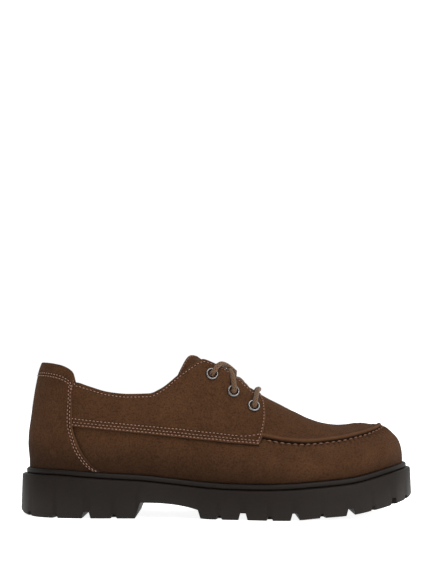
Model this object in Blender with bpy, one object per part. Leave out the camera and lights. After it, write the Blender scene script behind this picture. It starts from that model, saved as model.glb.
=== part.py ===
import bpy
import bmesh
import math
import numpy as np
from mathutils import Vector

# Right shoe on its sole: toe to +X, up +Z, outer side to -Y, floor at z = 0

# Outline of the sole
LENGTH = 0.305
BALL_WIDTH = 0.108
TOE_SWING = 0.006

# Heights of the rubber sole over the floor
HEEL_LEDGE = 0.0320
BALL_LEDGE = 0.0215
TOE_LEDGE = 0.0365
TOE_SPRING = 0.0153
ARCH_RISE = 0.0118
HEEL_ROUNDING = 0.0040
SIDE_FLARE = 0.0010

# Rubber step and insole
STEP_SET_IN = 0.0042
STEP_HEIGHT = 0.0042
INSOLE_THICKNESS = 0.0045
INSOLE_CLEARANCE = 0.0006

# Leather
UPPER_SET_IN = 0.0070
WALL = 0.0018
APRON_ROLL = 0.0011
PANEL = 0.0014
TONGUE_THICKNESS = 0.0030
TONGUE_CLEARANCE = 0.0009
TONGUE_LIFT = 0.0035
GAP = 0.0003
PANEL_GAP = 0.0006

# Heights of the upper over its lower edge
INSTEP_RISE = 0.0950
TAB_HEIGHT = 0.1160
COLLAR_HEIGHT = 0.0925

# Throat, and how much shorter the heel tab is on the inner side
THROAT_HALF_GAP = 0.0150
TAB_SHORTER = 0.0080

# Lugs
LUG_GAP_WIDTH = 0.0068
LUG_GAP_DEEP = 0.0052
LUG_GAP_SHALLOW = 0.0032
LUG_GAP_NARROW = 0.0048
LUG_GAP_REACH = 0.0110
LUG_GAP_TAPER = 0.58
LUG_GAP_BELOW = 0.0200
LUG_GAP_OUTSIDE = 0.0040

# Eyelets and lace
EYELET_ACROSS = 0.0096
EYELET_HOLE = 0.0064
EYELET_BARREL = 0.0070
EYELET_FLANGE = 0.0009
EYELET_CLEARANCE = 0.0003
EYELET_LIFT = 0.0007
EYELET_DEPTH_CLEARANCE = 0.0001
HOLE_OVERRUN = 0.0020
LACE_ACROSS = 0.0038
LACE_CLEARANCE = 0.0004
LACE_END = 0.0012
LACE_RISE = 0.0020
LACE_OVER_TONGUE = 0.0008
LACE_BAR_WAY = 0.410
LACE_CROSS_WAY = 0.482

# How finely the shapes are cut
RIBS = 54
WALL_ROWS = 5
TOP_ROWS = 6
PANEL_COLUMNS = 25
PANEL_ROWS = 7
LACE_SIDES = 8

for thing in list(bpy.data.objects):
    bpy.data.objects.remove(thing, do_unlink=True)


def table(names, rows):
    # Turns a short table into named columns
    columns = np.array(rows, dtype=float).T
    return dict(zip(names.split(), columns))


def smooth(xs, ys, x):
    # Smooth curve through the rows of a table that never overshoots them
    xs = np.asarray(xs, dtype=float)
    ys = np.asarray(ys, dtype=float)
    x = np.asarray(x, dtype=float)
    h = np.diff(xs)
    d = np.diff(ys) / h
    m = np.zeros_like(ys)
    m[0] = d[0]
    m[-1] = d[-1]
    for k in range(1, len(xs) - 1):
        if d[k - 1] * d[k] > 0:
            a = 2 * h[k] + h[k - 1]
            b = h[k] + 2 * h[k - 1]
            m[k] = (a + b) / (a / d[k - 1] + b / d[k])
    k = np.clip(np.searchsorted(xs, x) - 1, 0, len(h) - 1)
    t = np.clip((x - xs[k]) / h[k], 0.0, 1.0)
    start = ys[k] * (1 + 2 * t) * (1 - t) ** 2 + m[k] * h[k] * t * (1 - t) ** 2
    end = ys[k + 1] * t * t * (3 - 2 * t) + m[k + 1] * h[k] * t * t * (t - 1)
    return start + end


def ease(t):
    t = np.clip(t, 0.0, 1.0)
    return t * t * (3 - 2 * t)


# Half widths of the sole as shares of the ball width, at shares of the length from the heel
OUTLINE = table("at outer inner", [
    (0.00, 0.000, 0.000),
    (0.02, 0.165, 0.165),
    (0.05, 0.245, 0.245),
    (0.10, 0.310, 0.310),
    (0.18, 0.345, 0.345),
    (0.28, 0.350, 0.335),
    (0.38, 0.362, 0.315),
    (0.48, 0.400, 0.325),
    (0.58, 0.455, 0.385),
    (0.66, 0.490, 0.450),
    (0.72, 0.500, 0.488),
    (0.78, 0.490, 0.480),
    (0.84, 0.460, 0.440),
    (0.90, 0.385, 0.380),
    (0.94, 0.310, 0.315),
    (0.97, 0.220, 0.225),
    (1.00, 0.000, 0.000),
])

# Top of the outsole: how much of the heel's and of the toe's extra height it has
LEDGE = table("at heel toe", [
    (0.000, 1.00, 0.00),
    (0.090, 0.98, 0.00),
    (0.179, 0.81, 0.00),
    (0.234, 0.70, 0.00),
    (0.313, 0.57, 0.00),
    (0.395, 0.33, 0.00),
    (0.477, 0.09, 0.00),
    (0.523, 0.02, 0.00),
    (0.592, 0.00, 0.00),
    (0.677, 0.00, 0.05),
    (0.716, 0.00, 0.11),
    (0.762, 0.00, 0.18),
    (0.831, 0.00, 0.32),
    (0.877, 0.00, 0.50),
    (0.926, 0.00, 0.73),
    (0.982, 0.00, 0.95),
    (1.000, 0.00, 1.00),
])

# Underside of the outsole: shares of the heel rounding, the arch rise and the toe spring
UNDERSIDE = table("at heel arch toe", [
    (0.0000, 1.00, 0.00, 0.00),
    (0.0200, 0.30, 0.00, 0.00),
    (0.0450, 0.07, 0.00, 0.00),
    (0.0700, 0.00, 0.00, 0.00),
    (0.2987, 0.00, 0.00, 0.00),
    (0.3130, 0.00, 1.00, 0.00),
    (0.4525, 0.00, 0.58, 0.00),
    (0.4590, 0.00, 0.06, 0.00),
    (0.4900, 0.00, 0.00, 0.00),
    (0.6640, 0.00, 0.00, 0.00),
    (0.7000, 0.00, 0.00, 0.04),
    (0.7460, 0.00, 0.00, 0.12),
    (0.8110, 0.00, 0.00, 0.20),
    (0.8377, 0.00, 0.00, 0.26),
    (0.8800, 0.00, 0.00, 0.40),
    (0.9390, 0.00, 0.00, 0.62),
    (0.9790, 0.00, 0.00, 0.82),
    (1.0000, 0.00, 0.00, 1.00),
])

# Sections of the upper round its lower edge, from the toe tip to the middle of the heel.
# bulge and seam are set off from the edge as shares of the ball width, outward is plus.
# bulge_up, seam_up and ridge_up are shares of the instep rise. mid lies between seam and ridge.
# ridge is the place along the length that the section leans to, as a share from the heel.
SECTIONS = table("round bulge bulge_up seam seam_up mid mid_up ridge ridge_up", [
    (0.00, -0.028, 0.176, -0.151, 0.297, 0.50, 0.55, 0.867, 0.318),
    (0.05, -0.018, 0.172, -0.143, 0.293, 0.50, 0.56, 0.864, 0.326),
    (0.10, 0.004, 0.155, -0.130, 0.290, 0.50, 0.62, 0.854, 0.349),
    (0.15, 0.020, 0.145, -0.116, 0.292, 0.50, 0.70, 0.831, 0.372),
    (0.20, 0.028, 0.138, -0.106, 0.296, 0.50, 0.77, 0.802, 0.400),
    (0.25, 0.031, 0.137, -0.102, 0.294, 0.50, 0.79, 0.762, 0.439),
    (0.30, 0.032, 0.137, -0.097, 0.296, 0.50, 0.79, 0.718, 0.510),
    (0.35, 0.032, 0.142, -0.097, 0.315, 0.50, 0.78, 0.669, 0.600),
    (0.40, 0.032, 0.147, -0.092, 0.349, 0.50, 0.77, 0.618, 0.688),
    (0.45, 0.030, 0.153, -0.080, 0.376, 0.50, 0.80, 0.562, 0.813),
    (0.50, 0.028, 0.158, -0.056, 0.389, 0.50, 0.90, 0.507, 0.915),
    (0.55, 0.025, 0.163, -0.032, 0.389, 0.48, 0.92, 0.454, 0.987),
    (0.60, 0.023, 0.168, -0.018, 0.379, 0.26, 0.66, 0.402, 1.016),
    (0.65, 0.023, 0.179, -0.008, 0.368, 0.13, 0.47, 0.349, 1.021),
    (0.70, 0.023, 0.189, 0.000, 0.368, 0.08, 0.40, 0.297, 1.025),
    (0.75, 0.023, 0.189, 0.008, 0.368, 0.07, 0.40, 0.248, 1.026),
    (0.80, 0.023, 0.189, 0.012, 0.368, 0.07, 0.44, 0.202, 1.021),
    (0.85, 0.014, 0.190, 0.002, 0.362, 0.13, 0.62, 0.162, 1.013),
    (0.90, 0.004, 0.190, -0.006, 0.358, 0.22, 0.67, 0.130, 1.003),
    (0.95, -0.004, 0.190, -0.016, 0.350, 0.32, 0.71, 0.110, 1.001),
    (1.00, -0.011, 0.190, -0.023, 0.345, 0.40, 0.72, 0.100, 1.001),
])

# Half of the open throat, as a share of its widest, from its front end to the top
THROAT = table("round half", [
    (0.414, 0.00),
    (0.426, 0.36),
    (0.442, 0.55),
    (0.500, 0.80),
    (0.560, 1.00),
    (0.620, 1.10),
])

# Top edge seen from the side: shares of the length, then of collar height and tab height
TOP_EDGE = table("at collar tab", [
    (0.000, 0.00, 1.008),
    (0.060, 0.00, 1.000),
    (0.110, 0.00, 0.978),
    (0.137, 0.00, 0.945),
    (0.146, 0.00, 0.915),
    (0.152, 1.09, 0.000),
    (0.180, 1.060, 0.000),
    (0.231, 1.012, 0.000),
    (0.281, 0.995, 0.000),
    (0.332, 0.999, 0.000),
    (0.360, 1.037, 0.000),
    (0.414, 1.178, 0.000),
    (0.460, 1.285, 0.000),
    (0.500, 1.330, 0.000),
])

# Top of the instep over the floor, which the heights of the edges below are shares of
INSTEP_TOP = BALL_LEDGE + STEP_HEIGHT + INSTEP_RISE

# Lower edge of the side panels seen from the side, back to front
STRAP_EDGE = table("at height", [
    (0.140, 0.567),
    (0.336, 0.515),
    (0.468, 0.480),
    (0.560, 0.456),
    (0.602, 0.447),
])

# Gaps between the lugs seen from the side, heel to toe. A large one is wider and deeper,
# and one that goes across runs from side to side
LUG_GAPS = table("at large across", [
    (0.032, 0, 0),
    (0.101, 0, 0),
    (0.180, 1, 1),
    (0.247, 0, 0),
    (0.504, 0, 0),
    (0.565, 1, 1),
    (0.626, 0, 0),
    (0.688, 1, 1),
    (0.755, 0, 0),
    (0.820, 1, 1),
    (0.883, 0, 0),
    (0.939, 1, 0),
    (0.976, 0, 0),
])

# Front edge of the side panels seen from the side, bottom to top
PANEL_FRONT = table("height at", [
    (0.447, 0.602),
    (0.497, 0.612),
    (0.552, 0.618),
    (0.605, 0.622),
    (0.663, 0.621),
    (0.729, 0.614),
    (0.770, 0.608),
])

# Front edge of the heel counter seen from the side, bottom to top
COUNTER_FRONT = table("height at", [
    (0.282, 0.212),
    (0.389, 0.178),
    (0.512, 0.156),
    (0.601, 0.147),
    (0.690, 0.145),
    (0.837, 0.146),
])


def along(at):
    # Place in metres on X for a share of the length from the heel
    return (np.asarray(at, dtype=float) - 0.5) * LENGTH


def share(x):
    return np.asarray(x, dtype=float) / LENGTH + 0.5


def swing(x):
    return TOE_SWING * ease((share(x) - 0.6) / 0.4)


# Puts the middle of the sole's width on y = 0
PROBE_AT = np.linspace(0.5, 0.95, 91)
OUTER_SIDE = swing(along(PROBE_AT)) - smooth(OUTLINE["at"], OUTLINE["outer"], PROBE_AT) * BALL_WIDTH
INNER_SIDE = swing(along(PROBE_AT)) + smooth(OUTLINE["at"], OUTLINE["inner"], PROBE_AT) * BALL_WIDTH
SIDE_SHIFT = (OUTER_SIDE.min() + INNER_SIDE.max()) / 2


def centre_line(x):
    return swing(x) - SIDE_SHIFT


def outline(turn, side, inset):
    # Point of the sole's outline, with turn from 0 at the toe to pi at the heel
    turns = np.arccos(2 * OUTLINE["at"] - 1)[::-1]
    name = "outer" if side < 0 else "inner"

    def raw(angle):
        x = along((1 + np.cos(angle)) / 2)
        half = smooth(turns, OUTLINE[name][::-1], angle) * BALL_WIDTH
        return x, centre_line(x) + side * half

    turn = np.asarray(turn, dtype=float)
    step = 0.002
    low = np.clip(turn - step, 0.0, math.pi)
    high = np.clip(turn + step, 0.0, math.pi)
    x0, y0 = raw(low)
    x1, y1 = raw(high)
    dx = x1 - x0
    dy = y1 - y0
    size = np.hypot(dx, dy)
    nx = side * dy / size
    ny = -side * dx / size
    at_end = (turn < step) | (turn > math.pi - step)
    nx = np.where(at_end, np.sign(math.pi / 2 - turn), nx)
    ny = np.where(at_end, 0.0, ny)
    x, y = raw(turn)
    return x - nx * inset, y - ny * inset, nx, ny


def ledge_height(x):
    heel = smooth(LEDGE["at"], LEDGE["heel"], share(x))
    toe = smooth(LEDGE["at"], LEDGE["toe"], share(x))
    return BALL_LEDGE + heel * (HEEL_LEDGE - BALL_LEDGE) + toe * (TOE_LEDGE - BALL_LEDGE)


def underside_height(x):
    at = share(x)
    heel = smooth(UNDERSIDE["at"], UNDERSIDE["heel"], at)
    arch = smooth(UNDERSIDE["at"], UNDERSIDE["arch"], at)
    toe = smooth(UNDERSIDE["at"], UNDERSIDE["toe"], at)
    return HEEL_ROUNDING * heel + ARCH_RISE * arch + TOE_SPRING * toe


def edge_height(x):
    # Lower edge of the upper
    return ledge_height(x) + STEP_HEIGHT + 2 * GAP


# Lower edge of the upper measured round from the toe tip to the heel, for each side
DENSE_TURNS = np.linspace(0.0, math.pi, 801)
ROUND = {}
for hand in (-1, 1):
    edge_x, edge_y, edge_nx, edge_ny = outline(DENSE_TURNS, hand, UPPER_SET_IN)
    run = np.hypot(np.diff(edge_x), np.diff(edge_y))
    run = np.concatenate(([0.0], np.cumsum(run)))
    ROUND[hand] = (run / run[-1], edge_x, edge_y, edge_nx, edge_ny)

KNOTS = (0.0, 0.20, 0.45, 0.75, 1.0)
SEAM_AT = 0.45


def rib_points(t):
    # The five points of each section, t from -1 to 1, minus on the outer side and 0 at the toe
    t = np.asarray(t, dtype=float)
    t = np.where(t > 1.0, t - 2.0, t)
    t = np.where(t < -1.0, t + 2.0, t)
    way = np.abs(t)
    columns = [np.where(t < 0, np.interp(way, ROUND[-1][0], ROUND[-1][k]),
                        np.interp(way, ROUND[1][0], ROUND[1][k])) for k in (1, 2, 3, 4)]
    fx, fy, nx, ny = columns
    size = np.hypot(nx, ny)
    nx = nx / size
    ny = ny / size
    row = {name: smooth(SECTIONS["round"], SECTIONS[name], way) for name in SECTIONS}
    fz = edge_height(fx)
    foot = np.stack([fx, fy, fz], axis=-1)
    bulge = np.stack([fx + nx * row["bulge"] * BALL_WIDTH, fy + ny * row["bulge"] * BALL_WIDTH,
                      fz + row["bulge_up"] * INSTEP_RISE], axis=-1)
    seam = np.stack([fx + nx * row["seam"] * BALL_WIDTH, fy + ny * row["seam"] * BALL_WIDTH,
                     fz + row["seam_up"] * INSTEP_RISE], axis=-1)
    rx = along(row["ridge"])
    base = edge_height(np.interp(way, ROUND[-1][0], ROUND[-1][1]))
    ridge = np.stack([rx, centre_line(rx), base + row["ridge_up"] * INSTEP_RISE], axis=-1)
    mid = seam + (ridge - seam) * row["mid"][..., None]
    mid[..., 2] = seam[..., 2] + (ridge[..., 2] - seam[..., 2]) * row["mid_up"]
    return np.stack([foot, bulge, seam, mid, ridge], axis=-2)


def last(t, s):
    # The shape that the upper is drawn over: t goes round the shoe, s goes up from the lower edge
    t, s = np.broadcast_arrays(np.asarray(t, dtype=float), np.asarray(s, dtype=float))
    points = rib_points(t)
    knots = np.array(KNOTS)
    spans = np.diff(knots)
    slopes = (points[..., 1:, :] - points[..., :-1, :]) / spans[:, None]
    tangents = np.zeros_like(points)
    for k in (1, 2, 3):
        before = spans[k - 1]
        after = spans[k]
        tangents[..., k, :] = (slopes[..., k - 1, :] * after + slopes[..., k, :] * before) / (before + after)
    tangents[..., 0, :] = 2 * slopes[..., 0, :] - tangents[..., 1, :]
    tangents[..., 4, :] = slopes[..., 3, :] * 1.1
    tangents[..., 4, 2] = 0.0
    k = np.clip(np.searchsorted(knots, s, side="right") - 1, 0, 3)
    h = spans[k]
    u = ((s - knots[k]) / h)[..., None]

    def pick(array, index):
        return np.take_along_axis(array, index[..., None, None], axis=-2)[..., 0, :]

    h = h[..., None]
    p0 = pick(points, k)
    p1 = pick(points, k + 1)
    m0 = pick(tangents, k) * h
    m1 = pick(tangents, k + 1) * h
    return (p0 * (1 + 2 * u) * (1 - u) ** 2 + m0 * u * (1 - u) ** 2
            + p1 * u * u * (3 - 2 * u) + m1 * u * u * (u - 1))


def facing(t, s):
    # Direction square to the shape
    low_share = s
    s = np.clip(s, 0.0, 0.975)
    step_t = 0.004
    step_s = 0.012
    run_t = last(t + step_t, s) - last(t - step_t, s)
    run_s = last(t, np.clip(s + step_s, 0, 1)) - last(t, np.clip(s - step_s, 0, 1))
    n = np.cross(run_t, run_s)
    n[..., 2] = n[..., 2] * ease(low_share / 0.06)
    return n / np.linalg.norm(n, axis=-1)[..., None]


def outward(t, s):
    # Direction that faces out of the shape, shared by both sides on the ridge
    t, s = np.broadcast_arrays(np.asarray(t, dtype=float), np.asarray(s, dtype=float))
    n = facing(t, s)
    on_ridge = (s > 0.985)[..., None]
    if on_ridge.any():
        both = n + facing(-t, s)
        n = np.where(on_ridge, both / np.linalg.norm(both, axis=-1)[..., None], n)
    return n


def skin(t, s, lift):
    # Point at a distance outside (plus) or inside (minus) of the shape
    return last(t, s) + outward(t, s) * np.asarray(lift, dtype=float)[..., None]


def throat_share(way, side):
    # Where each section stops at the throat
    tries = np.linspace(0.5, 1.0, 101)
    found = np.ones_like(way)
    for k, w in enumerate(way):
        half = smooth(THROAT["round"], THROAT["half"], w) * THROAT_HALF_GAP
        if w <= THROAT["round"][0] or w > THROAT["round"][-1] or half < 0.0005:
            continue
        line = last(side * w, tries)
        away = np.abs(line[:, 1] - centre_line(line[:, 0]))
        found[k] = np.interp(-half, -away, tries)
    return found


def collar_share(way, side):
    # Where each section stops at the collar
    tries = np.linspace(0.5, 1.0, 101)
    found = np.ones_like(way)
    for k, w in enumerate(way):
        if w < 0.48:
            continue
        line = last(side * w, tries)
        at = share(line[:, 0])
        if side > 0:
            at = at + TAB_SHORTER / LENGTH * (1.0 - ease((at - 0.16) / 0.16))
        top = (smooth(TOP_EDGE["at"], TOP_EDGE["collar"], at) * COLLAR_HEIGHT
               + smooth(TOP_EDGE["at"], TOP_EDGE["tab"], at) * TAB_HEIGHT)
        over = line[:, 2] - top
        above = np.nonzero(over > 0)[0]
        if len(above) and above[0] > 0:
            j = above[0]
            found[k] = tries[j - 1] + (tries[j] - tries[j - 1]) * (-over[j - 1]) / (over[j] - over[j - 1])
        elif len(above):
            found[k] = tries[0]
    return found


DENSE_WAY = np.linspace(0.0, 1.0, 401)
TOP_SHARE = {}
for hand in (-1, 1):
    at_throat = throat_share(DENSE_WAY, hand)
    at_collar = collar_share(DENSE_WAY, hand)
    soft = 0.012
    both = -soft * np.log(np.exp(-at_throat / soft) + np.exp(-at_collar / soft))
    lowest = np.minimum(at_throat, at_collar)
    near = np.abs(at_throat - at_collar) < 6 * soft
    TOP_SHARE[hand] = np.where(near & (lowest < 0.999), np.minimum(both, lowest), lowest)


def top_share(t):
    way = np.abs(t)
    return np.where(t < 0, np.interp(way, DENSE_WAY, TOP_SHARE[-1]), np.interp(way, DENSE_WAY, TOP_SHARE[1]))


def apron_step(t, s):
    # The apron stands over the side wall along its seam and sinks back towards the ridge
    above = np.clip((s - SEAM_AT) / 0.02, 0.0, 1.0)
    back = 1.0 - 0.7 * ease((s - SEAM_AT - 0.05) / 0.25)
    fade = 1.0 - ease((np.abs(t) - 0.37) / 0.03)
    return APRON_ROLL * above * back * fade


# Where a place seen from the side lies on the shape
PROBE_WAY = np.linspace(0.02, 1.0, 197)
PROBE_S = np.linspace(0.0, 1.0, 101)
PROBE = {hand: last(hand * PROBE_WAY[:, None], PROBE_S[None, :]) for hand in (-1, 1)}


def find(side, at, up):
    # Round share and up share of the point with this share of the length and of the instep's top
    grid = PROBE[side]
    height = up * INSTEP_TOP
    gap = (grid[..., 0] - along(at)) ** 2 + (grid[..., 2] - height) ** 2
    i, j = np.unravel_index(np.argmin(gap), gap.shape)
    way = float(PROBE_WAY[i])
    s = float(PROBE_S[j])
    for _ in range(8):
        step = 0.001
        here = last(side * way, s)
        d_way = (last(side * min(way + step, 1.0), s) - last(side * (way - step), s))
        d_way = d_way / (min(way + step, 1.0) - (way - step))
        d_s = (last(side * way, min(s + step, 1.0)) - last(side * way, s - step))
        d_s = d_s / (min(s + step, 1.0) - (s - step))
        a = np.array([[d_way[0], d_s[0]], [d_way[2], d_s[2]]])
        b = np.array([along(at) - here[0], height - here[2]])
        move = np.linalg.lstsq(a, b, rcond=None)[0]
        way = float(np.clip(way + np.clip(move[0], -0.02, 0.02), 0.0, 1.0))
        s = float(np.clip(s + np.clip(move[1], -0.05, 0.05), 0.02, 1.0))
    return way, s


def finish(name, points, faces, colour, rough, metal=0.0):
    # Makes one closed solid with its own material
    mesh = bpy.data.meshes.new(name)
    mesh.from_pydata([tuple(float(c) for c in p) for p in points], [], [tuple(f) for f in faces])
    shape = bmesh.new()
    shape.from_mesh(mesh)
    bmesh.ops.remove_doubles(shape, verts=shape.verts, dist=1e-6)
    bmesh.ops.triangulate(shape, faces=shape.faces)
    bmesh.ops.recalc_face_normals(shape, faces=shape.faces)
    if shape.calc_volume(signed=True) < 0:
        bmesh.ops.reverse_faces(shape, faces=shape.faces)
    shape.to_mesh(mesh)
    shape.free()
    for face in mesh.polygons:
        face.use_smooth = True
    thing = bpy.data.objects.new(name, mesh)
    bpy.context.scene.collection.objects.link(thing)
    material = bpy.data.materials.new(name)
    material.use_nodes = True
    shader = next(n for n in material.node_tree.nodes if n.type == "BSDF_PRINCIPLED")
    shader.inputs["Base Color"].default_value = (*colour, 1.0)
    shader.inputs["Roughness"].default_value = rough
    shader.inputs["Metallic"].default_value = metal
    mesh.materials.append(material)
    return thing


def thicken(outer, inner, faces):
    # Joins an outer skin and an inner skin of the same pattern round their open edges
    count = len(outer)
    points = list(outer) + list(inner)
    solid = [tuple(f) for f in faces]
    solid += [tuple(count + k for k in reversed(f)) for f in faces]
    edges = {}
    for f in faces:
        for a, b in zip(f, f[1:] + f[:1]):
            edges[(a, b)] = edges.get((a, b), 0) + 1
    for (a, b) in edges:
        if (b, a) not in edges:
            solid.append((b, a, count + a, count + b))
    return points, solid


def patch(t, s, low, high):
    # Solid panel over a grid of places on the shape, between two distances from it
    columns, rows = t.shape
    outer = skin(t, s, np.broadcast_to(high, t.shape)).reshape(-1, 3)
    inner = skin(t, s, np.broadcast_to(low, t.shape)).reshape(-1, 3)
    faces = []
    for i in range(columns - 1):
        for j in range(rows - 1):
            k = i * rows + j
            faces.append((k, k + rows, k + rows + 1, k + 1))
    return thicken([tuple(p) for p in outer], [tuple(p) for p in inner], faces)


SUEDE = (0.075, 0.036, 0.018)
RUBBER = (0.020, 0.017, 0.015)
METAL = (0.42, 0.41, 0.40)
CORD = (0.20, 0.105, 0.055)
BOARD = (0.16, 0.10, 0.06)


def slab(name, stations, inset_low, inset_high, low, high, colour):
    # Solid that fills an outline between a lower and an upper height along the length
    rings = []
    for inset, height in ((inset_low, low), (inset_high, high)):
        rows = []
        for k, turn in enumerate(stations):
            xo, yo, _, _ = outline(turn, -1, inset)
            xi, yi, _, _ = outline(turn, 1, inset)
            if k in (0, len(stations) - 1):
                xm = (xo + xi) / 2
                ym = (yo + yi) / 2
                rows.append([(xm, ym, float(height(xm)))])
                continue
            line = []
            for part in (0.0, 0.25, 0.5, 0.75, 1.0):
                x = xo + (xi - xo) * part
                y = yo + (yi - yo) * part
                line.append((float(x), float(y), float(height(x))))
            rows.append(line)
        rings.append(rows)
    points = []
    index = []
    for rows in rings:
        level = []
        for line in rows:
            level.append(list(range(len(points), len(points) + len(line))))
            points += line
        index.append(level)
    faces = []
    bottom, top = index
    for level in (bottom, top):
        for a, b in zip(level, level[1:]):
            if len(a) == 1:
                faces += [(a[0], b[j], b[j + 1]) for j in range(4)]
            elif len(b) == 1:
                faces += [(a[j], b[0], a[j + 1]) for j in range(4)]
            else:
                faces += [(a[j], b[j], b[j + 1], a[j + 1]) for j in range(4)]
    for a, b, c, d in zip(bottom, bottom[1:], top, top[1:]):
        for j in (0, -1):
            faces.append((a[j], b[j], d[j], c[j]))
    return finish(name, points, faces, colour, 0.75)


def even_turns(inset, count):
    # Stations that are spread evenly round an outline
    x, y, _, _ = outline(DENSE_TURNS, -1, inset)
    way = np.concatenate(([0.0], np.cumsum(np.hypot(np.diff(x), np.diff(y)))))
    return np.interp(np.linspace(0, way[-1], count), way, DENSE_TURNS)


# Outsole
key_turns = [math.acos(2 * at - 1) for at in UNDERSIDE["at"][4:9]]
stations = [t for t in even_turns(0.0, 46) if min(abs(t - k) for k in key_turns) > 0.02]
stations = sorted(stations + key_turns)
outsole = slab("outsole", stations, 0.0, SIDE_FLARE, underside_height, ledge_height, RUBBER)


def groove(points, faces, start, end, width, depth):
    # Tapered bar between two places on the ground, cut up to a depth over the underside
    ahead = Vector((end[0] - start[0], end[1] - start[1], 0.0)).normalized()
    across = Vector((-ahead.y, ahead.x, 0.0))
    base = len(points)
    corners = ((-1, -LUG_GAP_BELOW, 1.0), (1, -LUG_GAP_BELOW, 1.0), (1, 0.0, 1.0),
               (1, depth, LUG_GAP_TAPER), (-1, depth, LUG_GAP_TAPER), (-1, 0.0, 1.0))
    for place in (start, end):
        for side, rise, share_wide in corners:
            spot = Vector((place[0], place[1], 0.0)) + across * side * width / 2 * share_wide
            points.append((spot.x, spot.y, place[2] + rise))
    n = len(corners)
    faces.append(tuple(base + k for k in range(n)))
    faces.append(tuple(base + n + k for k in reversed(range(n))))
    faces += [(base + k, base + n + k, base + n + (k + 1) % n, base + (k + 1) % n) for k in range(n)]


def cut(thing, name, points, faces):
    # Takes a set of separate bars out of a solid
    mesh = bpy.data.meshes.new(name)
    mesh.from_pydata(points, [], faces)
    shape = bmesh.new()
    shape.from_mesh(mesh)
    bmesh.ops.recalc_face_normals(shape, faces=shape.faces)
    shape.to_mesh(mesh)
    shape.free()
    tool = bpy.data.objects.new(name, mesh)
    bpy.context.scene.collection.objects.link(tool)
    tool.hide_render = True
    tool.display_type = "WIRE"
    modifier = thing.modifiers.new(name, "BOOLEAN")
    modifier.operation = "DIFFERENCE"
    modifier.solver = "EXACT"
    modifier.object = tool


def lug_gap_end(side, at, reach):
    # Place on the ground at a share of the length, outside (plus) or inside (minus) of the outline
    x, y, nx, ny = outline(math.acos(2 * at - 1), side, 0.0)
    return float(x + nx * reach), float(y + ny * reach), float(underside_height(x))


gap_points = []
gap_faces = []
for at, large, across in zip(LUG_GAPS["at"], LUG_GAPS["large"], LUG_GAPS["across"]):
    wide = LUG_GAP_WIDTH if large else LUG_GAP_NARROW
    high = LUG_GAP_DEEP if large else LUG_GAP_SHALLOW
    ends = [lug_gap_end(side, at, LUG_GAP_OUTSIDE) for side in (-1, 1)]
    if across:
        groove(gap_points, gap_faces, *ends, wide, high)
        continue
    for side, outer in zip((-1, 1), ends):
        x, y, _ = lug_gap_end(side, at, -LUG_GAP_REACH)
        groove(gap_points, gap_faces, outer, (x, y, outer[2]), wide, high)
cut(outsole, "lug_gaps", gap_points, gap_faces)

# Rubber step
slab("welt", even_turns(STEP_SET_IN, 46), STEP_SET_IN, STEP_SET_IN,
     lambda x: ledge_height(x) + GAP, lambda x: ledge_height(x) + GAP + STEP_HEIGHT, RUBBER)

# Insole
insole_inset = UPPER_SET_IN + WALL + INSOLE_CLEARANCE
slab("insole", even_turns(insole_inset, 40), insole_inset, insole_inset,
     lambda x: edge_height(x), lambda x: edge_height(x) + INSOLE_THICKNESS, BOARD)


def upper_skin(rib_list, shares_low, rows_high, lift):
    # Grid of the upper: both sides share the toe rib, the heel rib and the ridge over the vamp
    points = []
    seen = {}
    faces = []
    last_rib = len(rib_list) - 1

    def key(side, i, k, rows, closed):
        if i == 0 or i == last_rib or (closed and k == rows - 1):
            side = 0
        return (side, i, k)

    grid = {}
    for side in (-1, 1):
        for i, way in enumerate(rib_list):
            t = side * way
            top = float(top_share(np.array(t)))
            shares = list(shares_low) + [SEAM_AT + 0.02 + (top - SEAM_AT - 0.02) * r for r in rows_high]
            closed = way <= THROAT["round"][0] + 1e-9
            spots = np.array(shares)
            ts = np.full_like(spots, t)
            place = skin(ts, spots, lift(ts, spots))
            if closed:
                other = skin(-ts, spots, lift(-ts, spots))
                place[-1] = (place[-1] + other[-1]) / 2
            for k in range(len(shares)):
                name = key(side, i, k, len(shares), closed)
                if name not in seen:
                    seen[name] = len(points)
                    points.append(tuple(place[k]))
                grid[(side, i, k)] = seen[name]
    rows = len(shares_low) + len(rows_high)
    for side in (-1, 1):
        for i in range(last_rib):
            for k in range(rows - 1):
                corners = ((i, k), (i + 1, k), (i + 1, k + 1), (i, k + 1))
                f = [grid[(side, *corner)] for corner in corners]
                if side > 0:
                    f.reverse()
                kept = [v for n, v in enumerate(f) if v != f[n - 1]]
                if len(kept) > 2:
                    faces.append(tuple(kept))
    return points, faces


def rib_ways():
    # Ribs are closer at the toe tip, the throat's front end and the heel tab's front
    ways = list(np.linspace(0.0, 1.0, RIBS))
    marks = [THROAT["round"][0] + k for k in (0.0, 0.006, 0.012, 0.02)]
    ways = [w for w in ways if min(abs(w - m) for m in marks) > 0.009]
    return sorted(ways + marks)


RIB_WAYS = rib_ways()
LOW_SHARES = [SEAM_AT * k / WALL_ROWS for k in range(WALL_ROWS)] + [SEAM_AT]
HIGH_SHARES = [k / TOP_ROWS for k in range(TOP_ROWS + 1)]
outer_points, upper_faces = upper_skin(RIB_WAYS, LOW_SHARES, HIGH_SHARES, apron_step)
inner_points, _ = upper_skin(RIB_WAYS, LOW_SHARES, HIGH_SHARES, lambda t, s: np.full_like(s, -WALL))
upper = finish("upper", *thicken(outer_points, inner_points, upper_faces), SUEDE, 0.95)


PANEL_BACK_AT = 0.1535
PANEL_BACK_HEIGHT = 0.812
PANEL_BACK_LOW = 0.152
PANEL_TOP_WAY = 0.421
PANEL_CORNER_DROP = 0.13
PANEL_CORNER_FROM = 0.86


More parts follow.
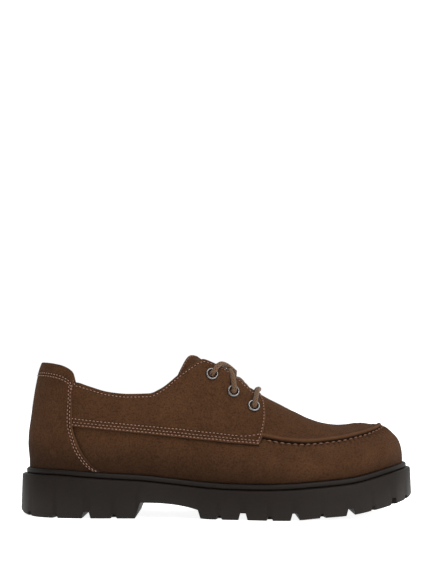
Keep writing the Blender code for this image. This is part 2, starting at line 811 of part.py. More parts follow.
def side_panel(name, side):
    # Panel over the side of the shoe, from the strap's lower edge to the throat and collar
    bottom_at = np.linspace(PANEL_BACK_LOW, STRAP_EDGE["at"][-1], PANEL_COLUMNS)
    rises = np.linspace(0.0, 1.0, PANEL_ROWS)
    t = np.zeros((PANEL_COLUMNS, PANEL_ROWS))
    s = np.zeros((PANEL_COLUMNS, PANEL_ROWS))
    first_way, _ = find(side, PANEL_BACK_AT, PANEL_BACK_HEIGHT)
    front_heights = np.linspace(PANEL_FRONT["height"][0], PANEL_FRONT["height"][-1], PANEL_ROWS)
    front = [find(side, float(smooth(PANEL_FRONT["height"], PANEL_FRONT["at"], h)), h)[0]
             for h in front_heights]
    bow = np.array(front) - (front[0] + (PANEL_TOP_WAY - front[0]) * rises)
    for i, at in enumerate(bottom_at):
        part = i / (PANEL_COLUMNS - 1)
        way_low, s_low = find(side, at, float(smooth(STRAP_EDGE["at"], STRAP_EDGE["height"], at)))
        way_high = first_way + (PANEL_TOP_WAY - first_way) * part
        ways = way_low + (way_high - way_low) * rises + bow * part ** 4
        top = float(top_share(np.array(side * ways[-1])))
        top -= PANEL_CORNER_DROP * float(ease((part - PANEL_CORNER_FROM) / (1.0 - PANEL_CORNER_FROM)))
        t[i] = side * ways
        s[i] = s_low + (top - s_low) * rises
    return finish(name, *patch(t, s, PANEL_GAP, PANEL_GAP + PANEL), SUEDE, 0.95)


side_panel("quarter_outer", -1)
side_panel("quarter_inner", 1)


def heel_piece(name, front, low_of, high_of, rows):
    # Panel that wraps round the heel, with its columns on the upper's own sections
    fronts = {side: [front(side, j / (rows - 1)) for j in range(rows)] for side in (-1, 1)}
    start = {side: max(fronts[side]) for side in (-1, 1)}
    left = [-w for w in RIB_WAYS if w > start[-1] + 0.01]
    right = [w for w in reversed(RIB_WAYS) if start[1] + 0.01 < w < 1.0]
    base = [-start[-1]] + left + right + [start[1]]
    columns = len(base)
    t = np.zeros((columns, rows))
    s = np.zeros((columns, rows))
    for i in range(columns):
        side = -1 if i <= len(left) else 1
        from_front = i if side < 0 else columns - 1 - i
        fade = max(0.0, 1.0 - from_front / 5.0)
        for j in range(rows):
            t[i, j] = base[i] + side * (fronts[side][j] - start[side]) * fade
            low = low_of(t[i, j])
            s[i, j] = low + (high_of(t[i, j]) - low) * j / (rows - 1)
    return finish(name, *patch(t, s, PANEL_GAP, PANEL_GAP + PANEL), SUEDE, 0.95)


COUNTER_LOW = 0.012
COUNTER_UP = 0.735
COUNTER_TOP = 0.82
TAB_LOW = 0.835
TAB_FRONT_AT = 0.148
TAB_FRONT_UP = 0.865


def counter_front(side, rise):
    # Round share of the counter's front edge at a share of its height
    wanted = COUNTER_LOW + (COUNTER_UP - COUNTER_LOW) * rise
    heights = np.linspace(COUNTER_FRONT["height"][0], COUNTER_FRONT["height"][-1], 25)
    places = [find(side, float(smooth(COUNTER_FRONT["height"], COUNTER_FRONT["at"], h)), h) for h in heights]
    return min(places, key=lambda place: abs(place[1] - wanted))[0]


def tab_front(side, rise):
    at = TAB_FRONT_AT - (TAB_SHORTER / LENGTH if side > 0 else 0.0)
    way, _ = find(side, at, TAB_FRONT_UP)
    return way


def tab_top(t):
    # The tab ends at the upper's own edge
    return float(top_share(np.array(t)))


heel_piece("counter", counter_front, lambda t: COUNTER_LOW, lambda t: COUNTER_TOP * tab_top(t), 8)
heel_piece("heel_tab", tab_front, lambda t: TAB_LOW * tab_top(t), tab_top, 5)


# Tongue, under the throat from the vamp to over the top of the facings
TONGUE_FRONT = 0.386
TONGUE_TIP = 0.562
TONGUE_CORNER = 0.640
TONGUE_UNDER = 0.10
TONGUE_ROWS = 16
TONGUE_COLUMNS = 7


def tongue():
    t = np.zeros((TONGUE_ROWS, 2 * TONGUE_COLUMNS - 1))
    s = np.zeros_like(t)
    lift = np.zeros_like(t)
    for r in range(TONGUE_ROWS):
        part = r / (TONGUE_ROWS - 1)
        centre = TONGUE_FRONT + (TONGUE_TIP - TONGUE_FRONT) * part
        corner = TONGUE_FRONT + (TONGUE_CORNER - TONGUE_FRONT) * part
        for side in (-1, 1):
            low = float(top_share(np.array(side * corner))) - TONGUE_UNDER
            low = min(low, 0.86)
            for c in range(TONGUE_COLUMNS):
                up = c / (TONGUE_COLUMNS - 1)
                column = c if side < 0 else 2 * TONGUE_COLUMNS - 2 - c
                way = corner + (centre - corner) * up
                t[r, column] = side * way
                s[r, column] = low + (1.0 - low) * up
                lift[r, column] = TONGUE_LIFT * ease((part - 0.75) / 0.25) * ease((up - 0.5) / 0.5)
    top = lift - (WALL + TONGUE_CLEARANCE)
    outer = skin(t, s, top).reshape(-1, 3)
    inner = skin(t, s, top - TONGUE_THICKNESS).reshape(-1, 3)
    rows = 2 * TONGUE_COLUMNS - 1
    faces = []
    for i in range(TONGUE_ROWS - 1):
        for j in range(rows - 1):
            k = i * rows + j
            faces.append((k, k + rows, k + rows + 1, k + 1))
    points, solid = thicken([tuple(p) for p in outer], [tuple(p) for p in inner], faces)
    return finish("tongue", points, solid, SUEDE, 0.9)


tongue()

# Eyelets seen from the side, top to front, as shares of the length and of the instep's top
EYELETS = table("at height", [
    (0.486, 0.891),
    (0.539, 0.782),
    (0.590, 0.688),
])
EYELET_SIDES = 12
TOP_OF_PANEL = PANEL_GAP + PANEL


def eyelet_place(side, number):
    way, s = find(side, float(EYELETS["at"][number]), float(EYELETS["height"][number]))
    t = np.array(side * way)
    n = outward(t, np.array(s))
    middle = last(t, np.array(s)) + n * TOP_OF_PANEL
    return Vector(middle), Vector(n), way, s


def turned(profile, middle, axis, sides):
    # Round body from pairs of radius and height over the middle
    first = axis.orthogonal().normalized()
    second = axis.cross(first)
    points = []
    for k in range(sides):
        angle = 2 * math.pi * k / sides
        ray = first * math.cos(angle) + second * math.sin(angle)
        points += [tuple(middle + ray * r + axis * h) for r, h in profile]
    n = len(profile)
    faces = []
    for k in range(sides):
        a = k * n
        b = ((k + 1) % sides) * n
        faces += [(a + j, b + j, b + (j + 1) % n, a + (j + 1) % n) for j in range(n)]
    return points, faces


def rod(middle, axis, radius, low, high, sides):
    # Plain round bar
    first = axis.orthogonal().normalized()
    second = axis.cross(first)
    points = []
    for height in (low, high):
        for k in range(sides):
            angle = 2 * math.pi * k / sides
            ray = first * math.cos(angle) + second * math.sin(angle)
            points.append(tuple(middle + ray * radius + axis * height))
    faces = [tuple(range(sides)), tuple(range(2 * sides - 1, sides - 1, -1))]
    faces += [(k, k + sides, (k + 1) % sides + sides, (k + 1) % sides) for k in range(sides)]
    return points, faces


NAMES = {-1: "outer", 1: "inner"}
PLACES = {}
hole = EYELET_HOLE / 2
barrel = EYELET_BARREL / 2
rim = EYELET_ACROSS / 2
depth = TOP_OF_PANEL + WALL + EYELET_DEPTH_CLEARANCE
hole_points = {-1: [], 1: []}
hole_faces = {-1: [], 1: []}
for side in (-1, 1):
    for number in range(len(EYELETS["at"])):
        middle, axis, way, s = eyelet_place(side, number)
        PLACES[(side, number)] = (middle, axis, way, s)
        flange_top = EYELET_LIFT + EYELET_FLANGE
        profile = [(hole, -depth), (barrel, -depth), (barrel, EYELET_LIFT), (rim, EYELET_LIFT),
                   (rim, EYELET_LIFT + EYELET_FLANGE / 2), (rim * 0.86, flange_top),
                   (barrel * 1.06, flange_top), (hole, EYELET_LIFT)]
        points, faces = turned(profile, middle, axis, EYELET_SIDES)
        finish("eyelet_%s_%d" % (NAMES[side], number + 1), points, faces, METAL, 0.3, 1.0)
        points, faces = rod(middle, axis, barrel + EYELET_CLEARANCE, -depth - HOLE_OVERRUN, HOLE_OVERRUN,
                            EYELET_SIDES)
        start = len(hole_points[side])
        hole_points[side] += points
        hole_faces[side] += [tuple(start + k for k in f) for f in faces]
    quarter = bpy.data.objects["quarter_" + NAMES[side]]
    cut(quarter, "holes_" + NAMES[side], hole_points[side], hole_faces[side])
cut(upper, "holes_both", hole_points[-1] + hole_points[1],
    hole_faces[-1] + [tuple(len(hole_points[-1]) + k for k in f) for f in hole_faces[1]])


def curve_through(points, steps):
    # Smooth path through a few places
    pts = [points[0] * 2 - points[1]] + points + [points[-1] * 2 - points[-2]]
    path = []
    for k in range(1, len(pts) - 2):
        a, b, c, d = pts[k - 1:k + 3]
        for n in range(steps):
            u = n / steps
            path.append(0.5 * ((2 * b) + (c - a) * u + (2 * a - 5 * b + 4 * c - d) * u * u
                               + (3 * b - a - 3 * c + d) * u * u * u))
    path.append(points[-1])
    return path


def cord(name, path, across):
    # Round cord with closed ends along a path
    points = []
    ahead = (path[1] - path[0]).normalized()
    side = ahead.orthogonal().normalized()
    for k, spot in enumerate(path):
        before = path[max(k - 1, 0)]
        after = path[min(k + 1, len(path) - 1)]
        ahead = (after - before).normalized()
        side = (side - ahead * side.dot(ahead)).normalized()
        other = ahead.cross(side)
        for n in range(LACE_SIDES):
            angle = 2 * math.pi * n / LACE_SIDES
            points.append(tuple(spot + (side * math.cos(angle) + other * math.sin(angle)) * across / 2))
    n = LACE_SIDES
    faces = [tuple(range(n)), tuple(range(len(points) - 1, len(points) - n - 1, -1))]
    for k in range(len(path) - 1):
        a = k * n
        b = a + n
        faces += [(a + j, b + j, b + (j + 1) % n, a + (j + 1) % n) for j in range(n)]
    return finish(name, points, faces, CORD, 0.85)


def spot_over(side, way, s, lift):
    return Vector(skin(np.array(side * way), np.array(s), np.array(lift)))


def strand(name, start, end, mid_way, middle_lift):
    # Outside strand from one eyelet to another, over the ridge at a place round the shoe
    over = TOP_OF_PANEL + EYELET_LIFT + EYELET_FLANGE + LACE_ACROSS / 2 + LACE_CLEARANCE
    w0, s0 = PLACES[start][2:]
    w1, s1 = PLACES[end][2:]
    run = []
    for part in (0.30, 0.62):
        run.append(spot_over(start[0], w0 + (mid_way - w0) * part, s0 + (1 - s0) * part,
                             over + (middle_lift - over) * part ** 2))
    run.append(spot_over(start[0], mid_way, 1.0, middle_lift))
    for part in (0.62, 0.30):
        run.append(spot_over(end[0], w1 + (mid_way - w1) * part, s1 + (1 - s1) * part,
                             over + (middle_lift - over) * part ** 2))
    head = []
    for (middle, axis, _, _), toward in zip((PLACES[start], PLACES[end]), (run[0], run[-1])):
        flat = toward - middle
        flat = (flat - axis * flat.dot(axis)).normalized()
        bend = LACE_ACROSS * 0.72
        head.append([middle - axis * LACE_END, middle + axis * LACE_RISE,
                     middle + flat * bend * 0.35 + axis * (LACE_RISE + bend * 0.75)])
    path = head[0] + run + head[1][::-1]
    return cord(name, curve_through(path, 4), LACE_ACROSS)


strand("lace_bar", (-1, 2), (1, 2), LACE_BAR_WAY, TOP_OF_PANEL + LACE_ACROSS / 2 + LACE_CLEARANCE)
strand("lace_cross_low", (-1, 1), (1, 0), LACE_CROSS_WAY, LACE_OVER_TONGUE)
strand("lace_cross_high", (1, 1), (-1, 0), LACE_CROSS_WAY, LACE_OVER_TONGUE + LACE_ACROSS + LACE_CLEARANCE)
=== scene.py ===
import math

import bmesh
import bpy
import numpy as np
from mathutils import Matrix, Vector


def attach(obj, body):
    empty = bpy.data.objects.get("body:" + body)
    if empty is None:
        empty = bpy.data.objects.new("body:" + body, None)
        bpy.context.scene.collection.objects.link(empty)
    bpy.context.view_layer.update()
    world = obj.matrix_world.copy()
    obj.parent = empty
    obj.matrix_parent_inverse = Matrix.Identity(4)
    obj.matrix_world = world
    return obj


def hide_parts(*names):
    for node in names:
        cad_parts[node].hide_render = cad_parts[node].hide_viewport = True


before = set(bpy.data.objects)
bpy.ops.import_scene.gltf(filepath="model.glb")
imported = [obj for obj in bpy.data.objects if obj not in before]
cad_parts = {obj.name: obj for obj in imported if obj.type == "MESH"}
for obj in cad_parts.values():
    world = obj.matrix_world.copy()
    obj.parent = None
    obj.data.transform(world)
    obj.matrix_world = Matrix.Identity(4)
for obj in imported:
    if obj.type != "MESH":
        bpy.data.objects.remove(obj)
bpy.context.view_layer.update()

# Sizes of the shoe, in metres
LENGTH = 0.305
BALL_WIDTH = 0.108
TOE_SWING = 0.006
HEEL_LEDGE = 0.0320
BALL_LEDGE = 0.0215
TOE_LEDGE = 0.0365
TOE_SPRING = 0.0153
ARCH_RISE = 0.0118
HEEL_ROUNDING = 0.0040
SIDE_FLARE = 0.0010
STEP_SET_IN = 0.0042
STEP_HEIGHT = 0.0042
INSOLE_THICKNESS = 0.0045
UPPER_SET_IN = 0.0070
WALL = 0.0018
PANEL = 0.0014
PANEL_GAP = 0.0006
GAP = 0.0003
TONGUE_THICKNESS = 0.0030
TONGUE_CLEARANCE = 0.0009
TONGUE_LIFT = 0.0035
INSTEP_RISE = 0.0950
TAB_HEIGHT = 0.1160
COLLAR_HEIGHT = 0.0925
THROAT_HALF_GAP = 0.0150
TAB_SHORTER = 0.0080
LUG_GAP_WIDTH = 0.0068
LUG_GAP_DEEP = 0.0052
LUG_GAP_SHALLOW = 0.0032
LUG_GAP_NARROW = 0.0048
LUG_GAP_REACH = 0.0110
LUG_GAP_TAPER = 0.58
LUG_GAP_BELOW = 0.0200
LUG_GAP_OUTSIDE = 0.0040
EYELET_ACROSS = 0.0096
EYELET_HOLE = 0.0064
EYELET_BARREL = 0.0070
EYELET_LIFT = 0.0007
LACE_ACROSS = 0.0038
LACE_BAR_WAY = 0.414
LACE_LOW_WAY = 0.486
LACE_HIGH_WAY = 0.472
SEAM_AT = 0.45
TOP_OF_PANEL = PANEL_GAP + PANEL

# Stitching
THREAD = 0.0006
STITCH_PITCH = 0.0028
STITCH_LENGTH = 0.0018
MOC_PITCH = 0.0048
MOC_LENGTH = 0.0034
MOC_THREAD = 0.0010


def table(names, rows):
    return dict(zip(names.split(), np.array(rows, dtype=float).T))


def smooth(xs, ys, x):
    # Smooth curve through the rows of a table that never overshoots them
    xs = np.asarray(xs, dtype=float)
    ys = np.asarray(ys, dtype=float)
    x = np.asarray(x, dtype=float)
    h = np.diff(xs)
    d = np.diff(ys) / h
    m = np.zeros_like(ys)
    m[0] = d[0]
    m[-1] = d[-1]
    for k in range(1, len(xs) - 1):
        if d[k - 1] * d[k] > 0:
            a = 2 * h[k] + h[k - 1]
            b = h[k] + 2 * h[k - 1]
            m[k] = (a + b) / (a / d[k - 1] + b / d[k])
    k = np.clip(np.searchsorted(xs, x) - 1, 0, len(h) - 1)
    t = np.clip((x - xs[k]) / h[k], 0.0, 1.0)
    start = ys[k] * (1 + 2 * t) * (1 - t) ** 2 + m[k] * h[k] * t * (1 - t) ** 2
    end = ys[k + 1] * t * t * (3 - 2 * t) + m[k + 1] * h[k] * t * t * (t - 1)
    return start + end


def ease(t):
    t = np.clip(t, 0.0, 1.0)
    return t * t * (3 - 2 * t)


def read(rows, name, x):
    # One column of a table at any place along its first column
    return smooth(next(iter(rows.values())), rows[name], x)


def bell(x, middle, wide):
    return np.exp(-((x - middle) / wide) ** 2)


def unit(vectors):
    return vectors / np.linalg.norm(vectors, axis=-1)[..., None]


def running(x, y):
    # Running length along a line on the ground
    return np.concatenate(([0.0], np.cumsum(np.hypot(np.diff(x), np.diff(y)))))


OUTLINE = table("at outer inner", [
    (0.00, 0.000, 0.000), (0.02, 0.165, 0.165),
    (0.05, 0.245, 0.245), (0.10, 0.310, 0.310),
    (0.18, 0.345, 0.345), (0.28, 0.350, 0.335),
    (0.38, 0.362, 0.315), (0.48, 0.400, 0.325),
    (0.58, 0.455, 0.385), (0.66, 0.490, 0.450),
    (0.72, 0.500, 0.488), (0.78, 0.490, 0.480),
    (0.84, 0.460, 0.440), (0.90, 0.385, 0.380),
    (0.94, 0.310, 0.315), (0.97, 0.220, 0.225),
    (1.00, 0.000, 0.000),
])
LEDGE = table("at heel toe", [
    (0.000, 1.00, 0.00), (0.090, 0.98, 0.00),
    (0.179, 0.81, 0.00), (0.234, 0.70, 0.00),
    (0.313, 0.57, 0.00), (0.395, 0.33, 0.00),
    (0.477, 0.09, 0.00), (0.523, 0.02, 0.00),
    (0.592, 0.00, 0.00), (0.677, 0.00, 0.05),
    (0.716, 0.00, 0.11), (0.762, 0.00, 0.18),
    (0.831, 0.00, 0.32), (0.877, 0.00, 0.50),
    (0.926, 0.00, 0.73), (0.982, 0.00, 0.95),
    (1.000, 0.00, 1.00),
])
UNDERSIDE = table("at heel arch toe", [
    (0.0000, 1.00, 0.00, 0.00), (0.0200, 0.30, 0.00, 0.00),
    (0.0450, 0.07, 0.00, 0.00), (0.0700, 0.00, 0.00, 0.00),
    (0.2987, 0.00, 0.00, 0.00), (0.3130, 0.00, 1.00, 0.00),
    (0.4525, 0.00, 0.58, 0.00), (0.4590, 0.00, 0.06, 0.00),
    (0.4900, 0.00, 0.00, 0.00), (0.6640, 0.00, 0.00, 0.00),
    (0.7000, 0.00, 0.00, 0.04), (0.7460, 0.00, 0.00, 0.12),
    (0.8110, 0.00, 0.00, 0.20), (0.8377, 0.00, 0.00, 0.26),
    (0.8800, 0.00, 0.00, 0.40), (0.9390, 0.00, 0.00, 0.62),
    (0.9790, 0.00, 0.00, 0.82), (1.0000, 0.00, 0.00, 1.00),
])
SECTIONS = table("round bulge bulge_up seam seam_up mid mid_up ridge ridge_up", [
    (0.00, -0.028, 0.176, -0.151, 0.297, 0.50, 0.55, 0.867, 0.318),
    (0.05, -0.018, 0.172, -0.143, 0.293, 0.50, 0.56, 0.864, 0.326),
    (0.10, 0.004, 0.155, -0.130, 0.290, 0.50, 0.62, 0.854, 0.349),
    (0.15, 0.020, 0.145, -0.116, 0.292, 0.50, 0.70, 0.831, 0.372),
    (0.20, 0.028, 0.138, -0.106, 0.296, 0.50, 0.77, 0.802, 0.400),
    (0.25, 0.031, 0.137, -0.102, 0.294, 0.50, 0.79, 0.762, 0.439),
    (0.30, 0.032, 0.137, -0.097, 0.296, 0.50, 0.79, 0.718, 0.510),
    (0.35, 0.032, 0.142, -0.097, 0.315, 0.50, 0.78, 0.669, 0.600),
    (0.40, 0.032, 0.147, -0.092, 0.349, 0.50, 0.77, 0.618, 0.688),
    (0.45, 0.030, 0.153, -0.080, 0.376, 0.50, 0.80, 0.562, 0.813),
    (0.50, 0.028, 0.158, -0.056, 0.389, 0.50, 0.90, 0.507, 0.915),
    (0.55, 0.025, 0.163, -0.032, 0.389, 0.48, 0.92, 0.454, 0.987),
    (0.60, 0.023, 0.168, -0.018, 0.379, 0.26, 0.66, 0.402, 1.016),
    (0.65, 0.023, 0.179, -0.008, 0.368, 0.13, 0.47, 0.349, 1.021),
    (0.70, 0.023, 0.189, 0.000, 0.368, 0.08, 0.40, 0.297, 1.025),
    (0.75, 0.023, 0.189, 0.008, 0.368, 0.07, 0.40, 0.248, 1.026),
    (0.80, 0.023, 0.189, 0.012, 0.368, 0.07, 0.44, 0.202, 1.021),
    (0.85, 0.014, 0.190, 0.002, 0.362, 0.13, 0.62, 0.162, 1.013),
    (0.90, 0.004, 0.190, -0.006, 0.358, 0.22, 0.67, 0.130, 1.003),
    (0.95, -0.004, 0.190, -0.016, 0.350, 0.32, 0.71, 0.110, 1.001),
    (1.00, -0.011, 0.190, -0.023, 0.345, 0.40, 0.72, 0.100, 1.001),
])
THROAT = table("round half", [
    (0.414, 0.00), (0.426, 0.36),
    (0.442, 0.55), (0.500, 0.80),
    (0.560, 1.00), (0.620, 1.10),
])
TOP_EDGE = table("at collar tab", [
    (0.000, 0.00, 1.008), (0.060, 0.00, 1.000),
    (0.110, 0.00, 0.978), (0.137, 0.00, 0.945),
    (0.146, 0.00, 0.915), (0.152, 1.09, 0.000),
    (0.180, 1.060, 0.000), (0.231, 1.012, 0.000),
    (0.281, 0.995, 0.000), (0.332, 0.999, 0.000),
    (0.360, 1.037, 0.000), (0.414, 1.178, 0.000),
    (0.460, 1.285, 0.000), (0.500, 1.330, 0.000),
])
INSTEP_TOP = BALL_LEDGE + STEP_HEIGHT + INSTEP_RISE
STRAP_EDGE = table("at height", [
    (0.140, 0.567), (0.336, 0.515),
    (0.468, 0.480), (0.560, 0.456),
    (0.602, 0.447),
])
PANEL_FRONT = table("height at", [
    (0.447, 0.602), (0.497, 0.612),
    (0.552, 0.618), (0.605, 0.622),
    (0.663, 0.621), (0.729, 0.614),
    (0.770, 0.608),
])
COUNTER_FRONT = table("height at", [
    (0.282, 0.212), (0.389, 0.178),
    (0.512, 0.156), (0.601, 0.147),
    (0.690, 0.145), (0.837, 0.146),
])
LUG_GAPS = table("at large across", [
    (0.032, 0, 0), (0.101, 0, 0),
    (0.180, 1, 1), (0.247, 0, 0),
    (0.504, 0, 0), (0.565, 1, 1),
    (0.626, 0, 0), (0.688, 1, 1),
    (0.755, 0, 0), (0.820, 1, 1),
    (0.883, 0, 0), (0.939, 1, 0),
    (0.976, 0, 0),
])
EYELETS = table("at height", [
    (0.486, 0.891), (0.539, 0.782),
    (0.590, 0.688),
])
SWING_FROM = 0.6


def along(at):
    return (np.asarray(at, dtype=float) - 0.5) * LENGTH


def share(x):
    return np.asarray(x, dtype=float) / LENGTH + 0.5


def swing(x):
    return TOE_SWING * ease((share(x) - SWING_FROM) / (1 - SWING_FROM))


PROBE_AT = np.linspace(0.5, 0.95, 91)
OUTER_SIDE = swing(along(PROBE_AT)) - read(OUTLINE, "outer", PROBE_AT) * BALL_WIDTH
INNER_SIDE = swing(along(PROBE_AT)) + read(OUTLINE, "inner", PROBE_AT) * BALL_WIDTH
SIDE_SHIFT = (OUTER_SIDE.min() + INNER_SIDE.max()) / 2


def centre_line(x):
    return swing(x) - SIDE_SHIFT


def outline(turn, side, inset):
    # Point of the sole's outline and its outward direction, turn runs from 0 at the toe to pi at the heel
    turns = np.arccos(2 * OUTLINE["at"] - 1)[::-1]
    name = "outer" if side < 0 else "inner"

    def raw(angle):
        x = along((1 + np.cos(angle)) / 2)
        half = smooth(turns, OUTLINE[name][::-1], angle) * BALL_WIDTH
        return x, centre_line(x) + side * half

    turn = np.asarray(turn, dtype=float)
    step = 0.002
    x0, y0 = raw(np.clip(turn - step, 0.0, math.pi))
    x1, y1 = raw(np.clip(turn + step, 0.0, math.pi))
    size = np.hypot(x1 - x0, y1 - y0)
    nx = side * (y1 - y0) / size
    ny = -side * (x1 - x0) / size
    at_end = (turn < step) | (turn > math.pi - step)
    nx = np.where(at_end, np.sign(math.pi / 2 - turn), nx)
    ny = np.where(at_end, 0.0, ny)
    x, y = raw(turn)
    return x - nx * inset, y - ny * inset, nx, ny


def ledge_height(x):
    heel, toe = (read(LEDGE, name, share(x)) for name in ("heel", "toe"))
    return BALL_LEDGE + heel * (HEEL_LEDGE - BALL_LEDGE) + toe * (TOE_LEDGE - BALL_LEDGE)


def underside_height(x):
    heel, arch, toe = (read(UNDERSIDE, name, share(x)) for name in ("heel", "arch", "toe"))
    return HEEL_ROUNDING * heel + ARCH_RISE * arch + TOE_SPRING * toe


def edge_height(x):
    return ledge_height(x) + STEP_HEIGHT + 2 * GAP


DENSE_TURNS = np.linspace(0.0, math.pi, 801)
ROUND = {}
for hand in (-1, 1):
    edge = outline(DENSE_TURNS, hand, UPPER_SET_IN)
    run = running(edge[0], edge[1])
    ROUND[hand] = (run / run[-1], *edge)
# Length of the upper's lower edge from toe to heel
HALF_ROUND = 0.329
KNOTS = np.array((0.0, 0.20, 0.45, 0.75, 1.0))


def rib_points(t):
    # The five points of each section, t from -1 to 1, minus on the outer side and 0 at the toe
    t = np.asarray(t, dtype=float)
    t = np.where(t > 1.0, t - 2.0, t)
    t = np.where(t < -1.0, t + 2.0, t)
    way = np.abs(t)
    fx, fy, nx, ny = [np.where(t < 0, np.interp(way, ROUND[-1][0], ROUND[-1][k]),
                               np.interp(way, ROUND[1][0], ROUND[1][k])) for k in (1, 2, 3, 4)]
    size = np.hypot(nx, ny)
    nx, ny = nx / size, ny / size
    row = {name: read(SECTIONS, name, way) for name in SECTIONS}
    fz = edge_height(fx)

    def beside(name):
        return np.stack([fx + nx * row[name] * BALL_WIDTH, fy + ny * row[name] * BALL_WIDTH,
                         fz + row[name + "_up"] * INSTEP_RISE], axis=-1)

    foot = np.stack([fx, fy, fz], axis=-1)
    seam = beside("seam")
    rx = along(row["ridge"])
    base = edge_height(np.interp(way, ROUND[-1][0], ROUND[-1][1]))
    ridge = np.stack([rx, centre_line(rx), base + row["ridge_up"] * INSTEP_RISE], axis=-1)
    mid = seam + (ridge - seam) * row["mid"][..., None]
    mid[..., 2] = seam[..., 2] + (ridge[..., 2] - seam[..., 2]) * row["mid_up"]
    return np.stack([foot, beside("bulge"), seam, mid, ridge], axis=-2)


def last(t, s):
    # The shape that the upper is drawn over: t goes round the shoe, s goes up from the lower edge
    t, s = np.broadcast_arrays(np.asarray(t, dtype=float), np.asarray(s, dtype=float))
    points = rib_points(t)
    spans = np.diff(KNOTS)
    slopes = (points[..., 1:, :] - points[..., :-1, :]) / spans[:, None]
    tangents = np.zeros_like(points)
    for k in (1, 2, 3):
        tangents[..., k, :] = ((slopes[..., k - 1, :] * spans[k] + slopes[..., k, :] * spans[k - 1])
                               / (spans[k - 1] + spans[k]))
    tangents[..., 0, :] = 2 * slopes[..., 0, :] - tangents[..., 1, :]
    tangents[..., 4, :] = slopes[..., 3, :] * 1.1
    tangents[..., 4, 2] = 0.0
    k = np.clip(np.searchsorted(KNOTS, s, side="right") - 1, 0, 3)
    u = ((s - KNOTS[k]) / spans[k])[..., None]
    h = spans[k][..., None]

    def pick(array, index):
        return np.take_along_axis(array, index[..., None, None], axis=-2)[..., 0, :]

    return (pick(points, k) * (1 + 2 * u) * (1 - u) ** 2 + pick(tangents, k) * h * u * (1 - u) ** 2
            + pick(points, k + 1) * u * u * (3 - 2 * u) + pick(tangents, k + 1) * h * u * u * (u - 1))


# Steps for slopes, and where the slope near the ridge and near the lower edge is evened out
STEP_ROUND = 0.004
STEP_UP = 0.012
NEAR_RIDGE = 0.975
ON_RIDGE = 0.985
LEVEL_BELOW = 0.06


def facing(t, s):
    inside = np.clip(s, 0.0, NEAR_RIDGE)
    run_t = last(t + STEP_ROUND, inside) - last(t - STEP_ROUND, inside)
    run_s = last(t, np.clip(inside + STEP_UP, 0, 1)) - last(t, np.clip(inside - STEP_UP, 0, 1))
    n = np.cross(run_t, run_s)
    n[..., 2] = n[..., 2] * ease(s / LEVEL_BELOW)
    return unit(n)


def outward(t, s):
    t, s = np.broadcast_arrays(np.asarray(t, dtype=float), np.asarray(s, dtype=float))
    n = facing(t, s)
    on_ridge = (s > ON_RIDGE)[..., None]
    if on_ridge.any():
        n = np.where(on_ridge, unit(n + facing(-t, s)), n)
    return n


def skin(t, s, lift):
    return last(t, s) + outward(t, s) * np.asarray(lift, dtype=float)[..., None]


TRIES = np.linspace(0.5, 1.0, 101)
LEAST_THROAT = 0.0005
COLLAR_FROM = 0.48
INNER_TAB_AT = 0.16


def throat_share(way, side):
    # Share up at which each section meets the edge of the throat
    found = np.ones_like(way)
    lines = last(side * way[:, None], TRIES[None, :])
    for k, w in enumerate(way):
        half = read(THROAT, "half", w) * THROAT_HALF_GAP
        if w <= THROAT["round"][0] or w > THROAT["round"][-1] or half < LEAST_THROAT:
            continue
        away = np.abs(lines[k][:, 1] - centre_line(lines[k][:, 0]))
        found[k] = np.interp(-half, -away, TRIES)
    return found


def collar_share(way, side):
    # Share up at which each section meets the collar
    found = np.ones_like(way)
    lines = last(side * way[:, None], TRIES[None, :])
    for k, w in enumerate(way):
        if w < COLLAR_FROM:
            continue
        at = share(lines[k][:, 0])
        if side > 0:
            at = at + TAB_SHORTER / LENGTH * (1.0 - ease((at - INNER_TAB_AT) / INNER_TAB_AT))
        top = read(TOP_EDGE, "collar", at) * COLLAR_HEIGHT + read(TOP_EDGE, "tab", at) * TAB_HEIGHT
        over = lines[k][:, 2] - top
        above = np.nonzero(over > 0)[0]
        if len(above) and above[0] > 0:
            j = above[0]
            part = -over[j - 1] / (over[j] - over[j - 1])
            found[k] = TRIES[j - 1] + (TRIES[j] - TRIES[j - 1]) * part
        elif len(above):
            found[k] = TRIES[0]
    return found


# Where throat and collar meet, the corner between them is rounded
CORNER_SOFT = 0.012
DENSE_WAY = np.linspace(0.0, 1.0, 401)
TOP_SHARE = {}
for hand in (-1, 1):
    at_throat = throat_share(DENSE_WAY, hand)
    at_collar = collar_share(DENSE_WAY, hand)
    both = -CORNER_SOFT * np.log(np.exp(-at_throat / CORNER_SOFT) + np.exp(-at_collar / CORNER_SOFT))
    lowest = np.minimum(at_throat, at_collar)
    near = np.abs(at_throat - at_collar) < 6 * CORNER_SOFT
    TOP_SHARE[hand] = np.where(near & (lowest < 0.999), np.minimum(both, lowest), lowest)


def top_share(t):
    way = np.abs(t)
    return np.where(np.asarray(t) < 0, np.interp(way, DENSE_WAY, TOP_SHARE[-1]),
                    np.interp(way, DENSE_WAY, TOP_SHARE[1]))


PROBE_WAY = np.linspace(0.02, 1.0, 197)
PROBE_S = np.linspace(0.0, 1.0, 101)
PROBE = {hand: last(hand * PROBE_WAY[:, None], PROBE_S[None, :]) for hand in (-1, 1)}
FIND_STEP = 0.001
FIND_ROUNDS = 5


